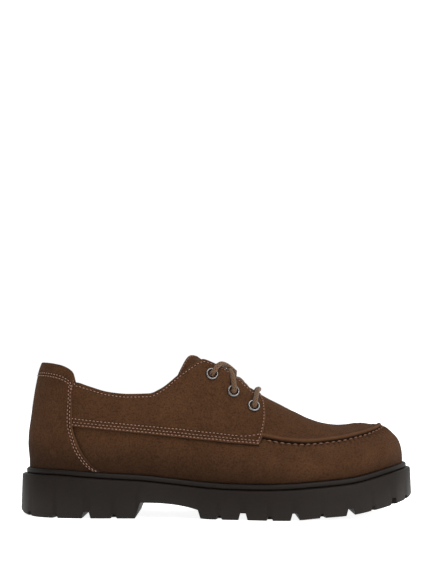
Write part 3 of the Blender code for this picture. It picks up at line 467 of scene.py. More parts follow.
def find(side, at, up):
    # Round share and up share of the place at a share of the length and of the instep's top
    grid = PROBE[side]
    height = up * INSTEP_TOP
    gap = (grid[..., 0] - along(at)) ** 2 + (grid[..., 2] - height) ** 2
    i, j = np.unravel_index(np.argmin(gap), gap.shape)
    way = float(PROBE_WAY[i])
    s = float(PROBE_S[j])
    for _ in range(FIND_ROUNDS):
        far, near_way = min(way + FIND_STEP, 1.0), way - FIND_STEP
        high, low = min(s + FIND_STEP, 1.0), s - FIND_STEP
        here, w1, w0, s1, s0 = last(np.array([way, far, near_way, way, way]) * side,
                                    np.array([s, s, s, high, low]))
        d_way = (w1 - w0) / (far - near_way)
        d_s = (s1 - s0) / (high - low)
        a = np.array([[d_way[0], d_s[0]], [d_way[2], d_s[2]]])
        b = np.array([along(at) - here[0], height - here[2]])
        move = np.linalg.lstsq(a, b, rcond=None)[0]
        way = float(np.clip(way + np.clip(move[0], -0.02, 0.02), 0.0, 1.0))
        s = float(np.clip(s + np.clip(move[1], -0.05, 0.05), 0.02, 1.0))
    return way, s


# Materials


def colour(code):
    # A hex colour as the eye reads it, turned to linear light
    parts = [int(code[k:k + 2], 16) / 255 for k in (1, 3, 5)]
    return tuple(c / 12.92 if c <= 0.04045 else ((c + 0.055) / 1.055) ** 2.4 for c in parts) + (1.0,)


def shade(body, factor):
    return tuple(c * factor for c in body[:3]) + (1.0,)


class Recipe:
    # One material, built up node by node

    def __init__(self, name):
        self.material = bpy.data.materials.new(name)
        self.material.use_nodes = True
        self.tree = self.material.node_tree
        self.shader = next(n for n in self.tree.nodes if n.type == "BSDF_PRINCIPLED")

    def add(self, kind, settings=None, inputs=None):
        node = self.tree.nodes.new(kind)
        for name, value in (settings or {}).items():
            setattr(node, name, value)
        for name, value in (inputs or {}).items():
            self.join(value, node.inputs[name])
        return node

    def join(self, value, socket):
        if isinstance(value, bpy.types.NodeSocket):
            self.tree.links.new(value, socket)
        else:
            socket.default_value = value

    def set(self, **values):
        for name, value in values.items():
            self.join(value, self.shader.inputs[name.replace("_", " ")])

    def ramp(self, value, stops):
        node = self.add("ShaderNodeValToRGB", inputs={"Fac": value})
        marks = node.color_ramp.elements
        while len(marks) < len(stops):
            marks.new(0.5)
        for mark, (place, code) in zip(marks, stops):
            mark.position = place
            mark.color = code
        return node.outputs["Color"]

    def noise(self, size_mm, detail=2.0, rough=0.5):
        # Noise whose grains are about this many millimetres across
        place = self.add("ShaderNodeTexCoord").outputs["Object"]
        return self.add("ShaderNodeTexNoise", inputs={"Vector": place, "Scale": 1000.0 / size_mm,
                                                      "Detail": detail, "Roughness": rough}).outputs["Fac"]

    def math(self, operation, *values):
        return self.add("ShaderNodeMath", {"operation": operation}, dict(enumerate(values))).outputs[0]

    def mix(self, share_socket, a, b, kind="MIX"):
        node = self.add("ShaderNodeMix", {"data_type": "RGBA", "blend_type": kind})
        self.join(share_socket, node.inputs[0])
        self.join(a, node.inputs[6])
        self.join(b, node.inputs[7])
        return node.outputs[2]

    def bump(self, height, strength, distance, before=None):
        inputs = {"Height": height, "Strength": strength, "Distance": distance}
        if before is not None:
            inputs["Normal"] = before
        return self.add("ShaderNodeBump", inputs=inputs).outputs["Normal"]

    def mark(self, name):
        return self.add("ShaderNodeAttribute", {"attribute_name": name}).outputs["Fac"]


def suede(name, shade_tone, dark, body, light):
    # Split cowhide with the flesh side buffed to a nap: the lie of the nap changes slowly from place to
    # place, single tufts are a touch darker, its fibres catch light at the edges and nothing on it shines
    r = Recipe(name)
    lie = r.noise(45.0)
    patch = r.noise(9.0, 3.0, 0.6)
    tuft = r.noise(1.3, 4.0, 0.75)
    fibre = r.noise(0.35, 2.0, 0.6)
    base = r.mix(0.22, body, r.ramp(lie, [(0.30, dark), (0.70, light)]))
    base = r.mix(0.14, base, r.ramp(patch, [(0.35, dark), (0.65, light)]))
    speck = r.ramp(tuft, [(0.36, colour("#767676")), (0.56, colour("#ffffff"))])
    base = r.mix(0.62, base, speck, "MULTIPLY")
    # Lighter on rubbed edges, partly real wear and partly a painted highlight on folded edges
    base = r.mix(r.mark("wear_and_highlight"), base, light)
    # Painted shade: darkens towards near black in seams, stitch troughs, along cut edges, under the tongue
    # and low down near the sole
    base = r.mix(r.mark("painted_shade"), base, shade_tone)
    rough = r.bump(tuft, 0.35, 0.0006)
    r.set(Base_Color=base, Roughness=0.95, Normal=r.bump(fibre, 0.5, 0.0003, rough),
          Specular_IOR_Level=0.12, Sheen_Weight=0.10, Sheen_Roughness=0.5, Sheen_Tint=light)
    return r.material


def rubber(name, body):
    # Moulded solid rubber: an even skin with a very fine mould grain and a dull, wide sheen
    r = Recipe(name)
    cloud = r.noise(30.0, 3.0, 0.6)
    r.set(Base_Color=r.ramp(cloud, [(0.3, shade(body, 0.85)), (0.7, shade(body, 1.12))]), Roughness=0.58,
          Normal=r.bump(r.noise(0.5), 0.15, 0.00025), Specular_IOR_Level=0.16)
    return r.material


# Rise of the cord's yarns over one turn round it, and the length over which the braid repeats
YARN_SLOPE = 6.0
BRAID_REPEAT = 0.0030


def woven(name, dark, light):
    # Braided cotton cord: two sets of yarns cross at a slant and leave small diamond shaped bumps
    r = Recipe(name)
    place = r.add("ShaderNodeUVMap").outputs["UV"]
    parts = r.add("ShaderNodeSeparateXYZ", inputs={"Vector": place})
    waves = []
    for slope in (YARN_SLOPE, -YARN_SLOPE):
        slant = r.math("MULTIPLY_ADD", parts.outputs["Y"], slope, parts.outputs["X"])
        waves.append(r.math("SINE", r.math("MULTIPLY", slant, 2 * math.pi)))
    height = r.math("MULTIPLY_ADD", r.math("MAXIMUM", *waves), 0.5, r.noise(0.4, 3.0, 0.6))
    # Colour follows the braid's height, so the hollows between the yarns are painted shade
    r.set(Base_Color=r.ramp(height, [(0.15, dark), (0.80, light)]), Roughness=0.9,
          Normal=r.bump(height, 0.6, 0.0003), Specular_IOR_Level=0.15, Sheen_Weight=0.15)
    return r.material


def plain(name, body, rough, metal=0.0, grain_mm=0.4, strength=0.15, shine=0.3):
    # Flat colour with a fine grain
    r = Recipe(name)
    grain = r.noise(grain_mm)
    r.set(Base_Color=r.ramp(grain, [(0.35, shade(body, 0.82)), (0.6, body)]), Roughness=rough,
          Metallic=metal, Normal=r.bump(grain, strength, 0.0002), Specular_IOR_Level=shine)
    return r.material


SUEDE = suede("suede", colour("#0d0603"), colour("#331d0d"), colour("#402815"), colour("#583b26"))
RUBBER = rubber("rubber", colour("#18120e"))
LINING = plain("lining_leather", colour("#4a3020"), 0.8, 0.0, 0.8, 0.25)
SOCK = plain("insole_leather", colour("#5a3e2b"), 0.75, 0.0, 1.0, 0.2)
# Polyester sewing thread, a little glossier than the nap round it
SEWING = plain("sewing_thread", colour("#8a6a5c"), 0.6, 0.0, 0.25, 0.3)
# Waxed thread of the toe seam, in the leather's own brown
WAXED = plain("waxed_thread", colour("#6b4936"), 0.65, 0.0, 0.4, 0.35)
CORD = woven("braided_cord", colour("#2e1f12"), colour("#5c432c"))
# Nickel plated brass, dulled by handling
NICKEL = plain("nickel", colour("#757372"), 0.32, 1.0, 0.6, 0.05, 0.5)


# Building


def piece(name, points, faces, material, slot_name, nodes=(), uv=None, marks=None):
    mesh = bpy.data.meshes.new(name)
    mesh.from_pydata([tuple(map(float, p)) for p in points], [], [tuple(int(v) for v in f) for f in faces])
    mesh.validate()
    mesh.polygons.foreach_set("use_smooth", [True] * len(mesh.polygons))
    for mark_name, values in (marks or {}).items():
        layer = mesh.attributes.new(mark_name, "FLOAT", "POINT")
        layer.data.foreach_set("value", np.asarray(values, dtype=np.float32))
    if uv is not None:
        layer = mesh.uv_layers.new(name="UVMap")
        loops = np.zeros(len(mesh.loops), dtype=np.int32)
        mesh.loops.foreach_get("vertex_index", loops)
        layer.data.foreach_set("uv", np.asarray(uv, dtype=np.float32)[loops].ravel())
    thing = bpy.data.objects.new(name, mesh)
    bpy.context.scene.collection.objects.link(thing)
    mesh.materials.append(material)
    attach(thing, "root")
    if nodes:
        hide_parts(*nodes)
    return thing


def sheet_faces(columns, rows, closed=False, flip=False):
    faces = []
    for i in range(columns if closed else columns - 1):
        a = i * rows
        b = ((i + 1) % columns) * rows
        for j in range(rows - 1):
            f = (a + j, b + j, b + j + 1, a + j + 1)
            faces.append(f[::-1] if flip else f)
    return faces


def lengths(points, axis):
    # Running length along one direction of a grid of points
    steps = np.linalg.norm(np.diff(points, axis=axis), axis=-1)
    zero = np.zeros_like(np.take(steps, [0], axis=axis))
    return np.cumsum(np.concatenate([zero, steps], axis=axis), axis=axis)


def dome(distance, radius):
    # Rises from nothing to one over a rounded edge
    d = np.clip(distance / radius, 0.0, 1.0)
    return np.sqrt(np.clip(1 - (1 - d) ** 2, 0.0, 1.0))


RIM_STEP = 0.004
RIM_ROUND = 0.45


def rim_rows(t, s, high, low, count):
    # Rows that roll over a free edge from the outside to the inside
    edge = last(t, s)
    n = outward(t, s)
    ahead = unit(last(t, s + RIM_STEP) - last(t, s - RIM_STEP))
    rows = []
    half = (high - low) / 2
    for k in range(1, count + 1):
        angle = math.pi * k / count
        rows.append(edge + n * (low + half + half * math.cos(angle))[..., None]
                    + ahead * (half * RIM_ROUND * math.sin(angle))[..., None])
    return np.stack(rows, axis=1)


# Creases and hollows of the worn-in leather: place as length share and height in metres, reach along
# and up, slant in degrees, and depth, all from the photo
CREASES = table("at height long wide slant depth", [
    (0.700, 0.0690, 0.020, 0.0050, -62, 0.0006), (0.735, 0.0670, 0.016, 0.0040, -70, 0.0005),
    (0.650, 0.0480, 0.018, 0.0050, -75, 0.0005), (0.560, 0.0700, 0.024, 0.0080, 30, 0.0006),
    (0.420, 0.0720, 0.030, 0.0100, 75, 0.0007), (0.330, 0.0500, 0.030, 0.0080, 80, 0.0004),
    (0.230, 0.0800, 0.020, 0.0080, 70, 0.0004), (0.480, 0.0450, 0.030, 0.0090, 12, 0.0005),
])


def creases(points):
    # Depth of the creases at each point
    total = np.zeros(points.shape[:-1])
    for at, height, long, wide, slant, depth in zip(*CREASES.values()):
        dx = points[..., 0] - along(at)
        dz = points[..., 2] - height
        turn = math.radians(slant)
        u = dx * math.cos(turn) + dz * math.sin(turn)
        v = -dx * math.sin(turn) + dz * math.cos(turn)
        total -= depth * np.exp(-(u / long) ** 2 - (v / wide) ** 2)
    return total


# Upper: side wall, then the raised apron over the toe seam

SIDE_RIBS = 300
WALL_SHARES = np.concatenate([np.linspace(0, 0.30, 22)[:-1], np.linspace(0.30, SEAM_AT, 46)])
APRON_SHARES = np.concatenate([np.linspace(0, 0.16, 30)[1:], np.linspace(0.16, 1.0, 34)[1:]])
SEAM_STEP = 0.02
SEAM_END = 0.42
APRON_STEP = 0.0004
BEAD_HIGH = 0.0016
BEAD_LOWER_AT_TIP = 0.0007
DIP_AT_TIP = 0.0009
GROOVE_DEEP = 0.0012
PUCKER_HIGH = 0.0005
SWELL_BELOW = 0.0004


def seam_distance(t, s):
    # Distance above (plus) or below (minus) of the toe seam
    low, high = (last(t, np.full_like(t, SEAM_AT + way * SEAM_STEP)) for way in (-1, 1))
    return (s - SEAM_AT) * np.linalg.norm(high - low, axis=-1) / (2 * SEAM_STEP)


def seam_fade(t):
    return 1.0 - ease((np.abs(t) - SEAM_END) / 0.03)


def low_shade(t, s):
    # Painted shade: darker leather low down, most of all at the waist and the heel
    back = ease((np.abs(t) - 0.28) / 0.20)
    return (0.30 + 0.25 * back) * (1 - ease(s / (0.20 + 0.16 * back)))


def gathers(t):
    return np.cos(2 * np.pi * np.abs(t) * HALF_ROUND / MOC_PITCH)


def seam_height(t, s):
    # Rolled edge of the apron above the seam, groove and puckers below it
    distance = seam_distance(t, s)
    above = np.clip(distance, 0.0, None)
    below = np.clip(-distance, 0.0, None)
    far = 1 - ease((above - 0.004) / 0.010)
    tip = 1 - ease((np.abs(t) - 0.05) / 0.09)
    bead = BEAD_HIGH - BEAD_LOWER_AT_TIP * tip
    up = dome(above, 0.0015 + 0.0009 * tip) * (APRON_STEP * far + bead * bell(above, 0.0019, 0.0021))
    up = up - tip * DIP_AT_TIP * bell(above, 0.0062, 0.0026) * (above > 0)
    down = -GROOVE_DEEP * bell(below, 0.0, 0.0010)
    down = down + PUCKER_HIGH * gathers(t) * bell(below, 0.0028, 0.0024)
    down = down + SWELL_BELOW * bell(below, 0.0045, 0.0030)
    return seam_fade(t) * np.where(distance > 0, up, down)


way_line = np.linspace(0.0, 1.0, SIDE_RIBS + 1)
closed_ribs = int(round(THROAT["round"][0] * SIDE_RIBS))
t_line = np.concatenate([-way_line[::-1], way_line[1:-1]])
T = t_line[:, None] * np.ones(len(WALL_SHARES) + len(APRON_SHARES))
TOPS = top_share(t_line)
S = np.concatenate([np.broadcast_to(WALL_SHARES, (len(t_line), len(WALL_SHARES))),
                    SEAM_AT + (TOPS[:, None] - SEAM_AT) * APRON_SHARES[None, :]], axis=1)
base = last(T, S)
lift = seam_height(T, S) + creases(base) * ease(S / 0.1)
upper_points = base + outward(T, S) * lift[..., None]
# Painted shade in the seam and between the gathers; lighter on the rolled edge, partly rubbed wear and
# partly a painted highlight
from_seam = seam_distance(T, S)
puckers = 0.5 - 0.5 * gathers(T)
shade_paint = np.maximum(bell(from_seam, -0.0002, 0.0007), 0.55 * puckers ** 2 * bell(from_seam, -0.0022, 0.0014))
shade_paint = np.maximum(shade_paint * seam_fade(T), low_shade(T, S))
wear_and_highlight = 0.55 * bell(from_seam, 0.0017, 0.0012) * seam_fade(T)
columns, rows = T.shape
piece("upper_leather", upper_points.reshape(-1, 3), sheet_faces(columns, rows, closed=True),
      SUEDE, "suede", ["upper"], marks={"painted_shade": shade_paint.ravel(), "wear_and_highlight": wear_and_highlight.ravel()})

# Rim of the throat and the collar, and the lining inside
open_t = np.roll(t_line, -(SIDE_RIBS + closed_ribs))[:len(t_line) - 2 * closed_ribs + 1]
rim = rim_rows(open_t, top_share(open_t), np.zeros_like(open_t), np.full_like(open_t, -WALL), 6)
rim = np.concatenate([last(open_t, top_share(open_t))[:, None, :], rim], axis=1)
piece("throat_rim", rim.reshape(-1, 3), sheet_faces(*rim.shape[:2]), SUEDE, "suede")

LINING_ROWS = 40
lining_t = t_line[:, None] * np.ones(LINING_ROWS)
lining_s = TOPS[:, None] * np.linspace(0, 1, LINING_ROWS)[None, :]
lining = skin(lining_t, lining_s, np.full(lining_t.shape, -WALL))
piece("lining", lining.reshape(-1, 3), sheet_faces(columns, LINING_ROWS, closed=True, flip=True),
      LINING, "insole")


# Panels


def spread(count, edge, fine=7):
    # Shares from 0 to 1 that are close together at both ends
    ends = edge * (np.linspace(0, 1, fine) ** 1.6)
    middle = np.linspace(edge, 1 - edge, count)[1:-1]
    return np.concatenate([ends, middle, (1 - ends)[::-1]])


def at_spots(spots, run, grid):
    # Rows of a path's grid at running lengths
    return np.stack([np.interp(spots, run, grid[:, k]) for k in range(3)], axis=-1)


STITCH_RINGS = 7
STITCH_SIDES = 8
STITCH_TILT = 0.05
STITCH_ARCH = 0.35
PATH_STEP = 0.0004


def stitch_row(positions, normals, pitch, length, thread, sink, seed, shift=0.0):
    # Threads along a path: each one an oblong bead that dips into its holes
    run = lengths(positions, 0)
    count = max(1, int(run[-1] / pitch))
    spots = (np.arange(count) + 0.5 + shift) * run[-1] / count
    spots = spots[spots < run[-1] - length / 2]
    count = len(spots)
    rng = np.random.default_rng(seed)
    place = at_spots(spots, run, positions)
    up = unit(at_spots(spots, run, normals))
    ahead = unit(at_spots(spots + PATH_STEP, run, positions) - at_spots(spots - PATH_STEP, run, positions))
    side = np.cross(up, ahead)
    tilt = rng.normal(0.0, STITCH_TILT, count)
    ahead = ahead + side * tilt[:, None]
    rings, sides = STITCH_RINGS, STITCH_SIDES
    points = []
    for r in range(rings):
        u = -1 + 2 * r / (rings - 1)
        thick = math.sqrt(max(0.0, 1 - abs(u) ** 2.6)) * 0.98 + 0.02
        arch = 1 - u * u
        for k in range(sides):
            angle = 2 * math.pi * k / sides
            points.append(place + ahead * (u * length / 2) + side * (math.cos(angle) * thick * thread / 2)
                          + up * (math.sin(angle) * thick * thread / 2 + arch * thread * STITCH_ARCH - sink))
    points = np.stack(points, axis=1)
    faces = []
    for r in range(rings - 1):
        for k in range(sides):
            a, b = r * sides + k, r * sides + (k + 1) % sides
            faces.append((a, b, b + sides, a + sides))
    faces.append(tuple(range(sides))[::-1])
    faces.append(tuple(range((rings - 1) * sides, rings * sides)))
    many = [tuple(v + n * rings * sides for v in f) for n in range(count) for f in faces]
    return points.reshape(-1, 3), many


def joined(rows):
    points, faces, start = [], [], 0
    for p, f in rows:
        points.append(p)
        faces += [tuple(v + start for v in face) for face in f]
        start += len(p)
    return np.concatenate(points), faces


SEWN = []


def sew_along(path, face, seed, shift=0.0):
    SEWN.append(stitch_row(path, face, STITCH_PITCH, STITCH_LENGTH, THREAD, THREAD * 0.15, seed, shift))


UNDER_EDGE = 0.0003
TROUGH_WIDE = 0.0007
TROUGH_DEEP = 0.00025


class Panel:
    # A piece of leather laid over the shape, with rounded cut edges and rows of stitches

    def __init__(self, t, s, edges, rolled=False, proud=0.0, radius=0.0009):
        self.t, self.s = t, s
        flat = last(t, s)
        across = lengths(flat, 0)
        up = lengths(flat, 1)
        self.away = {"back": across, "front": across[-1:, :] - across, "low": up, "top": up[:, -1:] - up}
        self.edges = edges
        self.rolled = rolled
        self.proud = proud
        self.radius = radius
        self.rows = []

    def row(self, which, distance, keep=None):
        # Path at a distance from one edge, where the distances from the others say so
        surface = skin(self.t, self.s, np.full(self.t.shape, TOP_OF_PANEL + self.proud))
        normal = outward(self.t, self.s)
        path, face = [], []
        by_column = which in ("low", "top")

        def lane(grid, i):
            return grid[i] if by_column else grid[:, i]

        for i in range(self.t.shape[0] if by_column else self.t.shape[1]):
            order = np.argsort(lane(self.away[which], i))
            line = {name: lane(grid, i)[order] for name, grid in self.away.items()}
            values = line[which]
            want = distance(float(line["front"].mean())) if callable(distance) else distance
            if want > values[-1]:
                continue
            here = {name: float(np.interp(want, values, v)) for name, v in line.items()}
            if keep is not None and not keep(here):
                continue
            for found, grid in ((path, surface), (face, normal)):
                found.append([np.interp(want, values, lane(grid, i)[order, k]) for k in range(3)])
        if not callable(distance):
            self.rows.append((which, distance))
        return np.array(path), np.array(face)

    def sew(self, which, distance, seed, keep=None, shift=0.0):
        path, face = self.row(which, distance, keep)
        if len(path) > 2:
            sew_along(path, face, seed, shift)

    def build(self, name, nodes):
        near = np.full(self.t.shape, 1.0)
        for edge in self.edges:
            near = np.minimum(near, self.away[edge])
        full = TOP_OF_PANEL + self.proud
        rise = -UNDER_EDGE + (full + UNDER_EDGE) * dome(near, self.radius)
        rise = rise * (0.25 + 0.75 * ease(self.s / 0.22))
        # Painted shade low down, and a painted shadow along the cut edge
        shade_paint = np.maximum(low_shade(self.t, self.s), 0.85 * bell(near, 0.0, 0.0004))
        for which, distance in self.rows:
            trough = bell(self.away[which], distance, TROUGH_WIDE)
            rise = rise - TROUGH_DEEP * trough
            # Painted shade in the trough of each stitch row
            shade_paint = np.maximum(shade_paint, 0.22 * trough)
        flat = last(self.t, self.s)
        rise = rise + creases(flat) * 0.8
        points = flat + outward(self.t, self.s) * rise[..., None]
        # Lighter near the cut edge, partly rubbed wear and partly a painted highlight
        wear_and_highlight = 0.60 * bell(near, 0.0011, 0.0006)
        if self.rolled:
            high = rise[:, -1]
            roll = rim_rows(self.t[:, -1], self.s[:, -1], high, np.full_like(high, -WALL), 9)
            points = np.concatenate([points, roll], axis=1)
            extra = roll.shape[:2]
            shade_paint = np.concatenate([shade_paint, np.zeros(extra)], axis=1)
            # Lighter over the rolled rim, partly rubbed wear and partly a painted highlight
            rim_wear_and_highlight = np.broadcast_to(0.4 * np.sin(np.linspace(0, math.pi, extra[1])), extra)
            wear_and_highlight = np.concatenate([wear_and_highlight, rim_wear_and_highlight], axis=1)
        return piece(name, points.reshape(-1, 3), sheet_faces(*points.shape[:2]), SUEDE, "suede", nodes,
                     marks={"painted_shade": shade_paint.ravel(), "wear_and_highlight": wear_and_highlight.ravel()})


PANEL_BACK_AT = 0.1400
PANEL_BACK_HEIGHT = 0.812
PANEL_TOP_WAY = 0.421
PANEL_CORNER_DROP = 0.13
PANEL_CORNER_FROM = 0.86
# Distances of the strap's three rows of stitches and of the facing's rows from the cut edges
STRAP_ROWS = (0.0015, 0.0037, 0.0064)
FRONT_ROW = 0.0022
TOP_ROW = 0.0024
ROW_TURNS_AT = 0.018


def shorter(side):
    # How much further back the heel tab ends on the inner side, as a share of the length
    return TAB_SHORTER / LENGTH if side > 0 else 0.0


def quarter(name, side):
    # Side panel: eyelet facing above, strap with its three rows of stitches below
    keys = np.linspace(0.0, 1.0, 9)
    back_at = PANEL_BACK_AT - shorter(side)
    first_at, last_at = STRAP_EDGE["at"][0], STRAP_EDGE["at"][-1]
    low = [find(side, at, float(read(STRAP_EDGE, "height", max(at, first_at))))
           for at in back_at + (last_at - back_at) * keys]
    heights = np.linspace(PANEL_FRONT["height"][0], PANEL_FRONT["height"][-1], 9)
    front = np.array([find(side, float(read(PANEL_FRONT, "at", h)), h)[0] for h in heights])
    first_way, _ = find(side, back_at, PANEL_BACK_HEIGHT)
    across = spread(190, 0.012)
    rises = spread(60, 0.035)
    low_way = smooth(keys, [p[0] for p in low], across)[:, None]
    low_s = smooth(keys, [p[1] for p in low], across)[:, None]
    bow = front - (front[0] + (PANEL_TOP_WAY - front[0]) * keys)
    bow = smooth(keys, bow, rises)[None, :]
    high_way = (first_way + (PANEL_TOP_WAY - first_way) * across)[:, None]
    ways = low_way + (high_way - low_way) * rises[None, :] + bow * across[:, None] ** 4
    corner = ease((across - PANEL_CORNER_FROM) / (1.0 - PANEL_CORNER_FROM))
    tops = top_share(side * ways[:, -1]) - PANEL_CORNER_DROP * corner
    s = low_s + (tops[:, None] - low_s) * rises[None, :]
    panel = Panel(side * ways, s, ("low", "front"), rolled=True)
    first, second, third = STRAP_ROWS
    panel.sew("low", first, 1)
    panel.sew("low", second, 2, shift=0.5)
    panel.sew("low", third, 3, lambda here: here["front"] > ROW_TURNS_AT)
    # The top row of the strap turns up to meet the row at the front edge
    panel.sew("low", lambda front: third + 0.0056 * max(0.0, 1 - front / 0.020) ** 2, 6,
              lambda here: FRONT_ROW < here["front"] < ROW_TURNS_AT)
    panel.sew("top", TOP_ROW, 4, lambda here: here["front"] > TOP_ROW)
    panel.sew("front", FRONT_ROW, 5, lambda here: here["low"] > 0.002 and here["top"] > TOP_ROW)
    thing = panel.build(name, ["quarter_outer" if side < 0 else "quarter_inner"])
    if side > 0:
        change_faces(thing.data, bmesh.ops.reverse_faces)


def change_faces(mesh, change):
    shape = bmesh.new()
    shape.from_mesh(mesh)
    change(shape, faces=shape.faces)
    shape.to_mesh(mesh)
    shape.free()


quarter("quarter_leather_outer", -1)
quarter("quarter_leather_inner", 1)

COUNTER_LOW = 0.012
COUNTER_UP = 0.735
COUNTER_ROWS = (0.0026, 0.0046)
COUNTER_UNDER_TAB = 0.004
TAB_LOW = 0.892
TAB_FRONT_AT = 0.148
TAB_FRONT_UP = 0.865
TAB_ROWS = (0.0012, 0.0032)
HEEL_PROUD = 0.0007
TAB_PROUD = 0.0010


def heel_grid(front, low_of, high_of, across, rises):
    # Grid that wraps round the heel between two front edges
    fronts = {side: front(side, rises) for side in (-1, 1)}
    signed = -fronts[-1][None, :] - across[:, None] * (2 - fronts[-1] - fronts[1])[None, :]
    t = np.where(signed < -1, signed + 2, signed)
    low = low_of(t)
    return t, low + (high_of(t) - low) * rises[None, :]


def counter_front(side, rises):
    heights = np.linspace(COUNTER_FRONT["height"][0], COUNTER_FRONT["height"][-1], 15)
    spots = [find(side, float(read(COUNTER_FRONT, "at", h) - shorter(side) * ease((h - 0.45) / 0.30)), h)
             for h in heights]
    wanted = COUNTER_LOW + (COUNTER_UP - COUNTER_LOW) * rises
    return np.interp(wanted, [p[1] for p in spots], [p[0] for p in spots])


def tab_front(side, rises):
    way, _ = find(side, TAB_FRONT_AT - shorter(side), TAB_FRONT_UP)
    return np.full_like(rises, way)


grid = heel_grid(counter_front, np.zeros_like, lambda t: TAB_LOW * top_share(t) + COUNTER_UNDER_TAB,
                 spread(150, 0.012), spread(50, 0.03))
counter = Panel(*grid, ("front", "back"), proud=HEEL_PROUD)
for number, edge in enumerate(("front", "back")):
    for row_number, distance in enumerate(COUNTER_ROWS):
        counter.sew(edge, distance, 11 + number + 2 * row_number)
change_faces(counter.build("counter_leather", ["counter"]).data, bmesh.ops.reverse_faces)

grid = heel_grid(tab_front, lambda t: TAB_LOW * top_share(t), top_share, spread(120, 0.016),
                 spread(24, 0.07))
tab = Panel(*grid, ("low", "front", "back"), rolled=True, proud=TAB_PROUD, radius=0.0007)
for number, distance in enumerate(TAB_ROWS):
    tab.sew("low", distance, 15 + number)
change_faces(tab.build("heel_tab_leather", ["heel_tab"]).data, bmesh.ops.reverse_faces)


# Tongue

TONGUE_FRONT = 0.386
TONGUE_TIP = 0.562
TONGUE_CORNER = 0.640
TONGUE_UNDER = 0.10
TONGUE_LOWEST = 0.86
TONGUE_SEAM = 0.0030
TONGUE_SEAM_END = 6


def tongue_grid(count, width):
    # Round share, up share and lift of the tongue, its outer half and then its inner half
    parts = np.linspace(0, 1, count)[:, None]
    ups = np.linspace(0, 1, width)[None, :]
    centre = TONGUE_FRONT + (TONGUE_TIP - TONGUE_FRONT) * parts
    corner = TONGUE_FRONT + (TONGUE_CORNER - TONGUE_FRONT) * parts
    sides = []
    for side in (-1, 1):
        low = np.minimum(top_share(side * corner) - TONGUE_UNDER, TONGUE_LOWEST)
        way = corner + (centre - corner) * ups
        s = low + (1 - low) * ups
        up = TONGUE_LIFT * ease((parts - 0.75) / 0.25) * ease((ups - 0.5) / 0.5)
        sides.append((side * way, s, up))
    return [np.concatenate([a, b[:, -2::-1]], axis=1) for a, b in zip(*sides)]


t, s, up = tongue_grid(90, 40)
top = up - (WALL + TONGUE_CLEARANCE)
flat = last(t, s)
across = lengths(flat, 1)
from_tip = lengths(flat, 0)[-1:, :] - lengths(flat, 0)
border = np.minimum(np.minimum(across, across[:, -1:] - across), from_tip)
pull = (TONGUE_THICKNESS / 2) * (1 - dome(border, 0.0016))
n = outward(t, s)
outer = skin(t, s, top) - n * pull[..., None]
inner = skin(t, s, top - TONGUE_THICKNESS) + n * pull[..., None]
count = outer.shape[0] * outer.shape[1]
faces = sheet_faces(*outer.shape[:2])
faces += [tuple(v + count for v in f[::-1]) for f in faces]
# Lighter near the edge, partly rubbed wear and partly a painted highlight; painted shadow along the cut
# edge, and painted shade over the whole underside
wear_and_highlight = np.concatenate([0.5 * bell(border, 0.0012, 0.0008).ravel(), np.zeros(count)])
edge_shadow_paint = 0.8 * bell(border, 0.0, 0.0008).ravel()
piece("tongue_leather", np.concatenate([outer.reshape(-1, 3), inner.reshape(-1, 3)]), faces, SUEDE, "suede",
      ["tongue"], marks={"wear_and_highlight": wear_and_highlight, "painted_shade": np.concatenate([edge_shadow_paint, 0.5 + 0.5 * edge_shadow_paint])})
seam_lanes = range(TONGUE_SEAM_END, outer.shape[1] - TONGUE_SEAM_END)
path = [[np.interp(TONGUE_SEAM, from_tip[::-1, j], outer[::-1, j, k]) for k in range(3)] for j in seam_lanes]
sew_along(np.array(path), np.array([n[-4, j] for j in seam_lanes]), 21)


# Insole cover, rubber step and outsole


def level(height, inset, offset):
    # One ring of a slab: how far in, and how high
    return inset, lambda x: height(x) + offset


def even_turns(count, inset):
    # Turns whose places lie evenly along the outline
    x, y, _, _ = outline(DENSE_TURNS, -1, inset)
    run = running(x, y)
    return np.interp(np.linspace(0, run[-1], count), run, DENSE_TURNS)


def ring_wall(turns, levels, own_height=True):
    # Rings round the outline with the faces between them, heights read at the ring or at the outline
    rings = []
    for inset, height in levels:
        ring = []
        for side, order in ((-1, slice(None)), (1, slice(-2, 0, -1))):
            x, y, _, _ = outline(turns[order], side, inset)
            at = x if own_height else outline(turns[order], side, 0.0)[0]
            ring.append(np.stack([x, y, height(at)], axis=-1))
        rings.append(np.concatenate(ring))
    around = len(rings[0])
    faces = []
    for k in range(len(rings) - 1):
        for i in range(around):
            j = (i + 1) % around
            faces.append((k * around + i, k * around + j, (k + 1) * around + j, (k + 1) * around + i))
    return rings, faces


def footprint(name, levels, material, slot_name, nodes, count=220):
    # Slab closed above and below by strips that follow its height
    rings, faces = ring_wall(even_turns(count, 0.006), levels)
    around = len(rings[0])
    points = list(np.concatenate(rings))
    for level, flip in ((0, False), (len(rings) - 1, True)):
        ring = rings[level]
        height = levels[level][1]
        previous = None
        for i in range(1, count - 1):
            j = around - i
            line = [level * around + i]
            for part in (0.2, 0.4, 0.6, 0.8):
                spot = ring[i] + (ring[j] - ring[i]) * part
                spot = np.array([spot[0], spot[1], float(height(spot[0]))])
                line.append(len(points))
                points.append(spot)
            line.append(level * around + j)
            if previous is not None:
                for a, b, c, d in zip(previous, previous[1:], line[1:], line):
                    faces.append((a, b, c, d) if flip else (d, c, b, a))
            else:
                tip = level * around
                faces += [(tip, b, a) if flip else (a, b, tip) for a, b in zip(line, line[1:])]
            previous = line
        tip = level * around + count - 1
        faces += [(a, b, tip) if flip else (tip, b, a) for a, b in zip(previous, previous[1:])]
    return piece(name, points, faces, material, slot_name, nodes)


